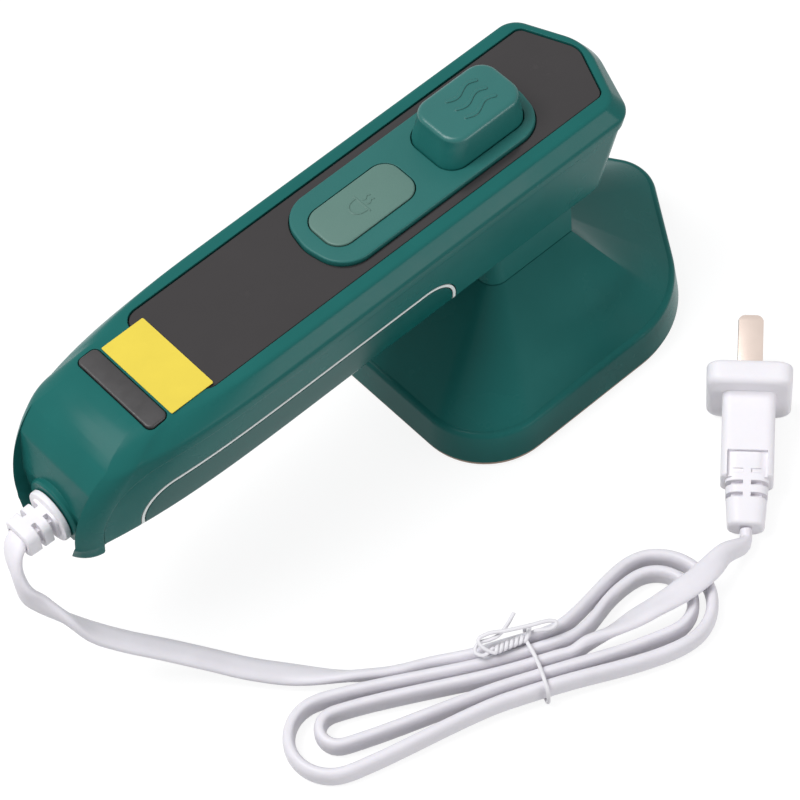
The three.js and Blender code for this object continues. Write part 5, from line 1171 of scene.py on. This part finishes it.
def plugPieces():
    p = plug
    edge = p["edge"]
    faceX, thick = p["faceX"], p["flangeThick"]
    backX = faceX - thick

    # A part's section grows to its full size along a quarter arc
    def rounding(startX, part, reach):
        wide, high, radius = (p[part + size] for size in ("Wide", "High", "Radius"))
        levels = []
        for s, c in quarter(7):
            inset = reach * (1 - s)
            levels.append((startX + reach - reach * c, wide - 2 * inset, high - 2 * inset, radius))
        return levels

    wide, high, radius = p["reliefWide"], p["reliefHigh"], p["endRadius"]
    relief = plugLoft("relief", rounding(0, "end", edge) + [
        (p["reliefEndX"], wide, high, radius), (p["reachX"], wide, high + p["swell"], radius)])
    wide, high, radius = p["bodyWide"], p["bodyHigh"], p["bodyRadius"]
    body = plugLoft("body", rounding(p["reliefEndX"] - gap, "body", p["bodyRound"]) + [
        (p["bodyEndX"], wide, high, radius), (backX + gap, wide, high + 2 * edge, radius)])
    front = [(2 * faceX - thick - x, w, h, r)
             for x, w, h, r in reversed(rounding(backX, "flange", p["frontRound"]))]
    flange = plugLoft("flange", rounding(backX, "flange", p["rearRound"]) + front)
    far = p["bodyWide"]
    for k in range(p["slots"]):
        x = p["slotX"] + k * p["slotPitch"]
        span = (x, x + p["slotWide"])
        for side in (-1, 1):
            y = sorted((side * p["webHalf"], side * far))
            for z in ((p["coreHalf"], far), (-far, -p["coreHalf"])):
                cut(relief, boxOnPlug("slot", span, y, z))
            y = sorted((side * (p["reliefWide"] / 2 - p["slotDeep"]), side * far))
            cut(relief, boxOnPlug("slot", span, y, (-far, far)))
    half = p["reliefWide"] / 2 - p["windowInset"]
    for z in ((p["windowZ"], far), (-far, -p["windowZ"])):
        cut(body, boxOnPlug("window", (0, p["reachX"] + gap), (-half, half), z))
    form = join(relief, body, flange)
    half, thin = blade["wide"] / 2 + blade["room"], blade["thick"] / 2 + blade["room"]
    seatX, tipX = faceX - blade["seat"], faceX + blade["length"]
    for side in (-1, 1):
        middle = side * blade["pitch"] / 2
        cut(form, boxOnPlug("seat", (seatX, faceX + past), (-half, half),
                            (middle - thin, middle + thin)))
    finishPiece(form, "plugBody", "handle", "white_rubber", ["plug_body"])
    group = [form]
    levels = [(seatX, blade["wide"], blade["thick"], blade["radius"])]
    for back, inY, inZ, radius in blade["tip"]:
        levels.append((tipX - back, blade["wide"] - 2 * inY, blade["thick"] - 2 * inZ, radius))
    for side, name, stands in ((1, "bladeUpper", "plug_blade_upper"),
                               (-1, "bladeLower", "plug_blade_lower")):
        piece = plugLoft(name, levels, side * blade["pitch"] / 2, 3)
        group.append(finishPiece(piece, name, "handle", "plated_brass", [stands]))
    return group


plugGroup = plugPieces()
stageLine("gland and plug")


# Bare yellow label, pressed on the top of the handle
def labelPiece():
    low = handle["topZ"] + gap / 2
    plate = prismPiece("label", boxOutline(label, 0, 4), low, low + label["thick"])
    finishPiece(plate, "bareLabel", "handle", "yellow_label", ["blank_label"])


labelPiece()


# Round wire along a path
def wirePiece(name, points, radius, sides=14, step=0.35):
    path = evenly(smoothPath(points), step)
    tangent = tangentsAlong(path)
    normal = np.cross(tangent[0], (0.3, 0.2, 1.0))
    turn = np.linspace(0, 2 * math.pi, sides, endpoint=False)
    rings = []
    for p, t in zip(path, tangent):
        normal = unit(normal - t * (normal @ t))
        other = np.cross(t, normal)
        rings.append(p + radius * (np.outer(np.cos(turn), normal) + np.outer(np.sin(turn), other)))
    return loftPiece(name, rings)


# Wire tie: once round the strands, its ends twisted together and left loose
tie = {
    "radius": 0.5, "helix": 0.62, "twists": 3.0, "root": (-65.8, -83.2, 9.9),
    "twistEnd": (-73.4, -80.8, 10.1), "crossAlong": 1.2,
    "upperEnd": [
        (-76.3, -79.9, 10.1), (-77.2, -78.0, 10.5), (-75.2, -77.0, 11.0), (-72.5, -78.3, 11.3),
        (-70.3, -79.0, 11.6), (-67.0, -78.5, 12.1), (-63.7, -77.4, 12.7),
    ],
    "lowerEnd": [
        (-75.3, -78.9, 11.4), (-74.9, -76.8, 12.2), (-72.4, -77.4, 12.8), (-68.6, -79.9, 12.9),
        (-63.2, -82.6, 12.4), (-58.6, -84.7, 11.8), (-57.6, -85.9, 11.4), (-59.3, -86.2, 11.1),
        (-63.2, -84.0, 11.5),
    ],
}


def tiePiece():
    radius = tie["radius"]
    half = 2 * hank["pitch"] + cord["thick"] / 2 + radius + gap
    lowZ = hank["tieZ"] - cord["wide"] / 2 - radius - gap
    highZ = hank["tieZ"] + cord["wide"] / 2 + radius + gap
    root, end = np.array(tie["root"]), np.array(tie["twistEnd"])
    course = unit(end - root)
    level = unit(np.cross(course, (0, 0, 1)))
    upward = np.cross(level, course)

    def spot(across, z, along=0.0):
        return tieCentre + tieAcross * across + tieAlong * along + (0, 0, z)

    def twist(phase):
        strand = []
        for share in np.linspace(0, 1, 25):
            turn = 2 * math.pi * tie["twists"] * share + phase
            away = tie["helix"] * (math.cos(turn) * level + math.sin(turn) * upward)
            strand.append(mix(root, end, share) + away)
        return strand

    bend = cord["thick"] / 2
    points = [np.array(p) for p in reversed(tie["upperEnd"])] + twist(0)[::-1]
    points += [
        spot(0, highZ), spot(half - bend, highZ), spot(half, highZ - bend),
        spot(half, lowZ + bend), spot(half - bend, lowZ), spot(0, lowZ, radius),
        spot(-half + bend, lowZ, radius), spot(-half, lowZ + bend, radius),
        spot(-half, highZ - bend, radius),
        spot(-half + bend, highZ + radius, tie["crossAlong"]),
    ]
    points += twist(math.pi) + [np.array(p) for p in tie["lowerEnd"]]
    wire = wirePiece("tie", points, radius)
    return finishPiece(wire, "hankTie", "handle", "white_tie", ["hank_tie"], angle=60)


tiePart = tiePiece()
stageLine("label, tie and the cord's record")


roomLight = {
    "world": 0.47, "worldColour": (0.97, 0.98, 1.0, 1), "floorGlow": 0.87, "floorMatte": 0.2,
    "floorBounce": 0.5, "floorHalf": 1600, "floorRadius": 50, "floorZ": (-20, -0.02),
    "aim": (-0.05, 0, 0.05),
    "lamps": [("keyLamp", (-0.6, 0.35, 1.4), (0.8, 0.8), 19.5),
              ("frontLamp", (0.37, -1.17, 0.07), (0.7, 0.13), 4.0)],
}


# One shader where the camera, a reflection or clear plastic looks, another where light is
# gathered
def splitByEye(tree, output, gathered, seen):
    rays = tree.nodes.new("ShaderNodeLightPath").outputs
    share = rays["Is Camera Ray"]
    for ray in ("Is Glossy Ray", "Is Transmission Ray"):
        either = addNode(tree, "ShaderNodeMath", [(0, share), (1, rays[ray])], operation="MAXIMUM")
        share = either.outputs[0]
    blend = addNode(tree, "ShaderNodeMixShader", [(0, share), (1, gathered.outputs[0]),
                                                  (2, seen.outputs[0])])
    addNode(tree, output, [("Surface", blend.outputs[0])])


def emptyTree(owner):
    owner.use_nodes = True
    owner.node_tree.nodes.clear()
    return owner.node_tree


# Room: white all round, a white floor that keeps a faint shadow, soft lamps
def room():
    scene, r = bpy.context.scene, roomLight
    scene.view_settings.view_transform = "Standard"
    scene.world = bpy.data.worlds.new("whiteRoom")
    tree = emptyTree(scene.world)
    seen = addNode(tree, "ShaderNodeBackground", Color=(1, 1, 1, 1), Strength=1.0)
    lit = addNode(tree, "ShaderNodeBackground", Color=r["worldColour"], Strength=r["world"])
    splitByEye(tree, "ShaderNodeOutputWorld", lit, seen)

    corners = rectangle(-r["floorHalf"], r["floorHalf"], r["floorHalf"], r["floorRadius"])
    floor = prismPiece("floor", roundedOutline(corners, 4), *r["floorZ"])
    paint = bpy.data.materials.new("floorPaint")
    tree = emptyTree(paint)
    matte, bounce = (addNode(tree, "ShaderNodeBsdfDiffuse", Color=(r[key],) * 3 + (1,))
                     for key in ("floorMatte", "floorBounce"))
    glow = addNode(tree, "ShaderNodeEmission", Strength=r["floorGlow"])
    both = addNode(tree, "ShaderNodeAddShader", [(0, glow.outputs[0]), (1, matte.outputs[0])])
    splitByEye(tree, "ShaderNodeOutputMaterial", bounce, both)
    floor.data.materials.append(paint)
    for name, place, size, power in r["lamps"]:
        data = bpy.data.lights.new(name, "AREA")
        data.shape = "RECTANGLE"
        data.size, data.size_y = size
        data.energy = power
        lamp = bpy.data.objects.new(name, data)
        scene.collection.objects.link(lamp)
        lamp.location = place
        aim = Vector(r["aim"]) - lamp.location
        lamp.rotation_euler = aim.to_track_quat("-Z", "Y").to_euler()


room()
stageLine("room and lamps")
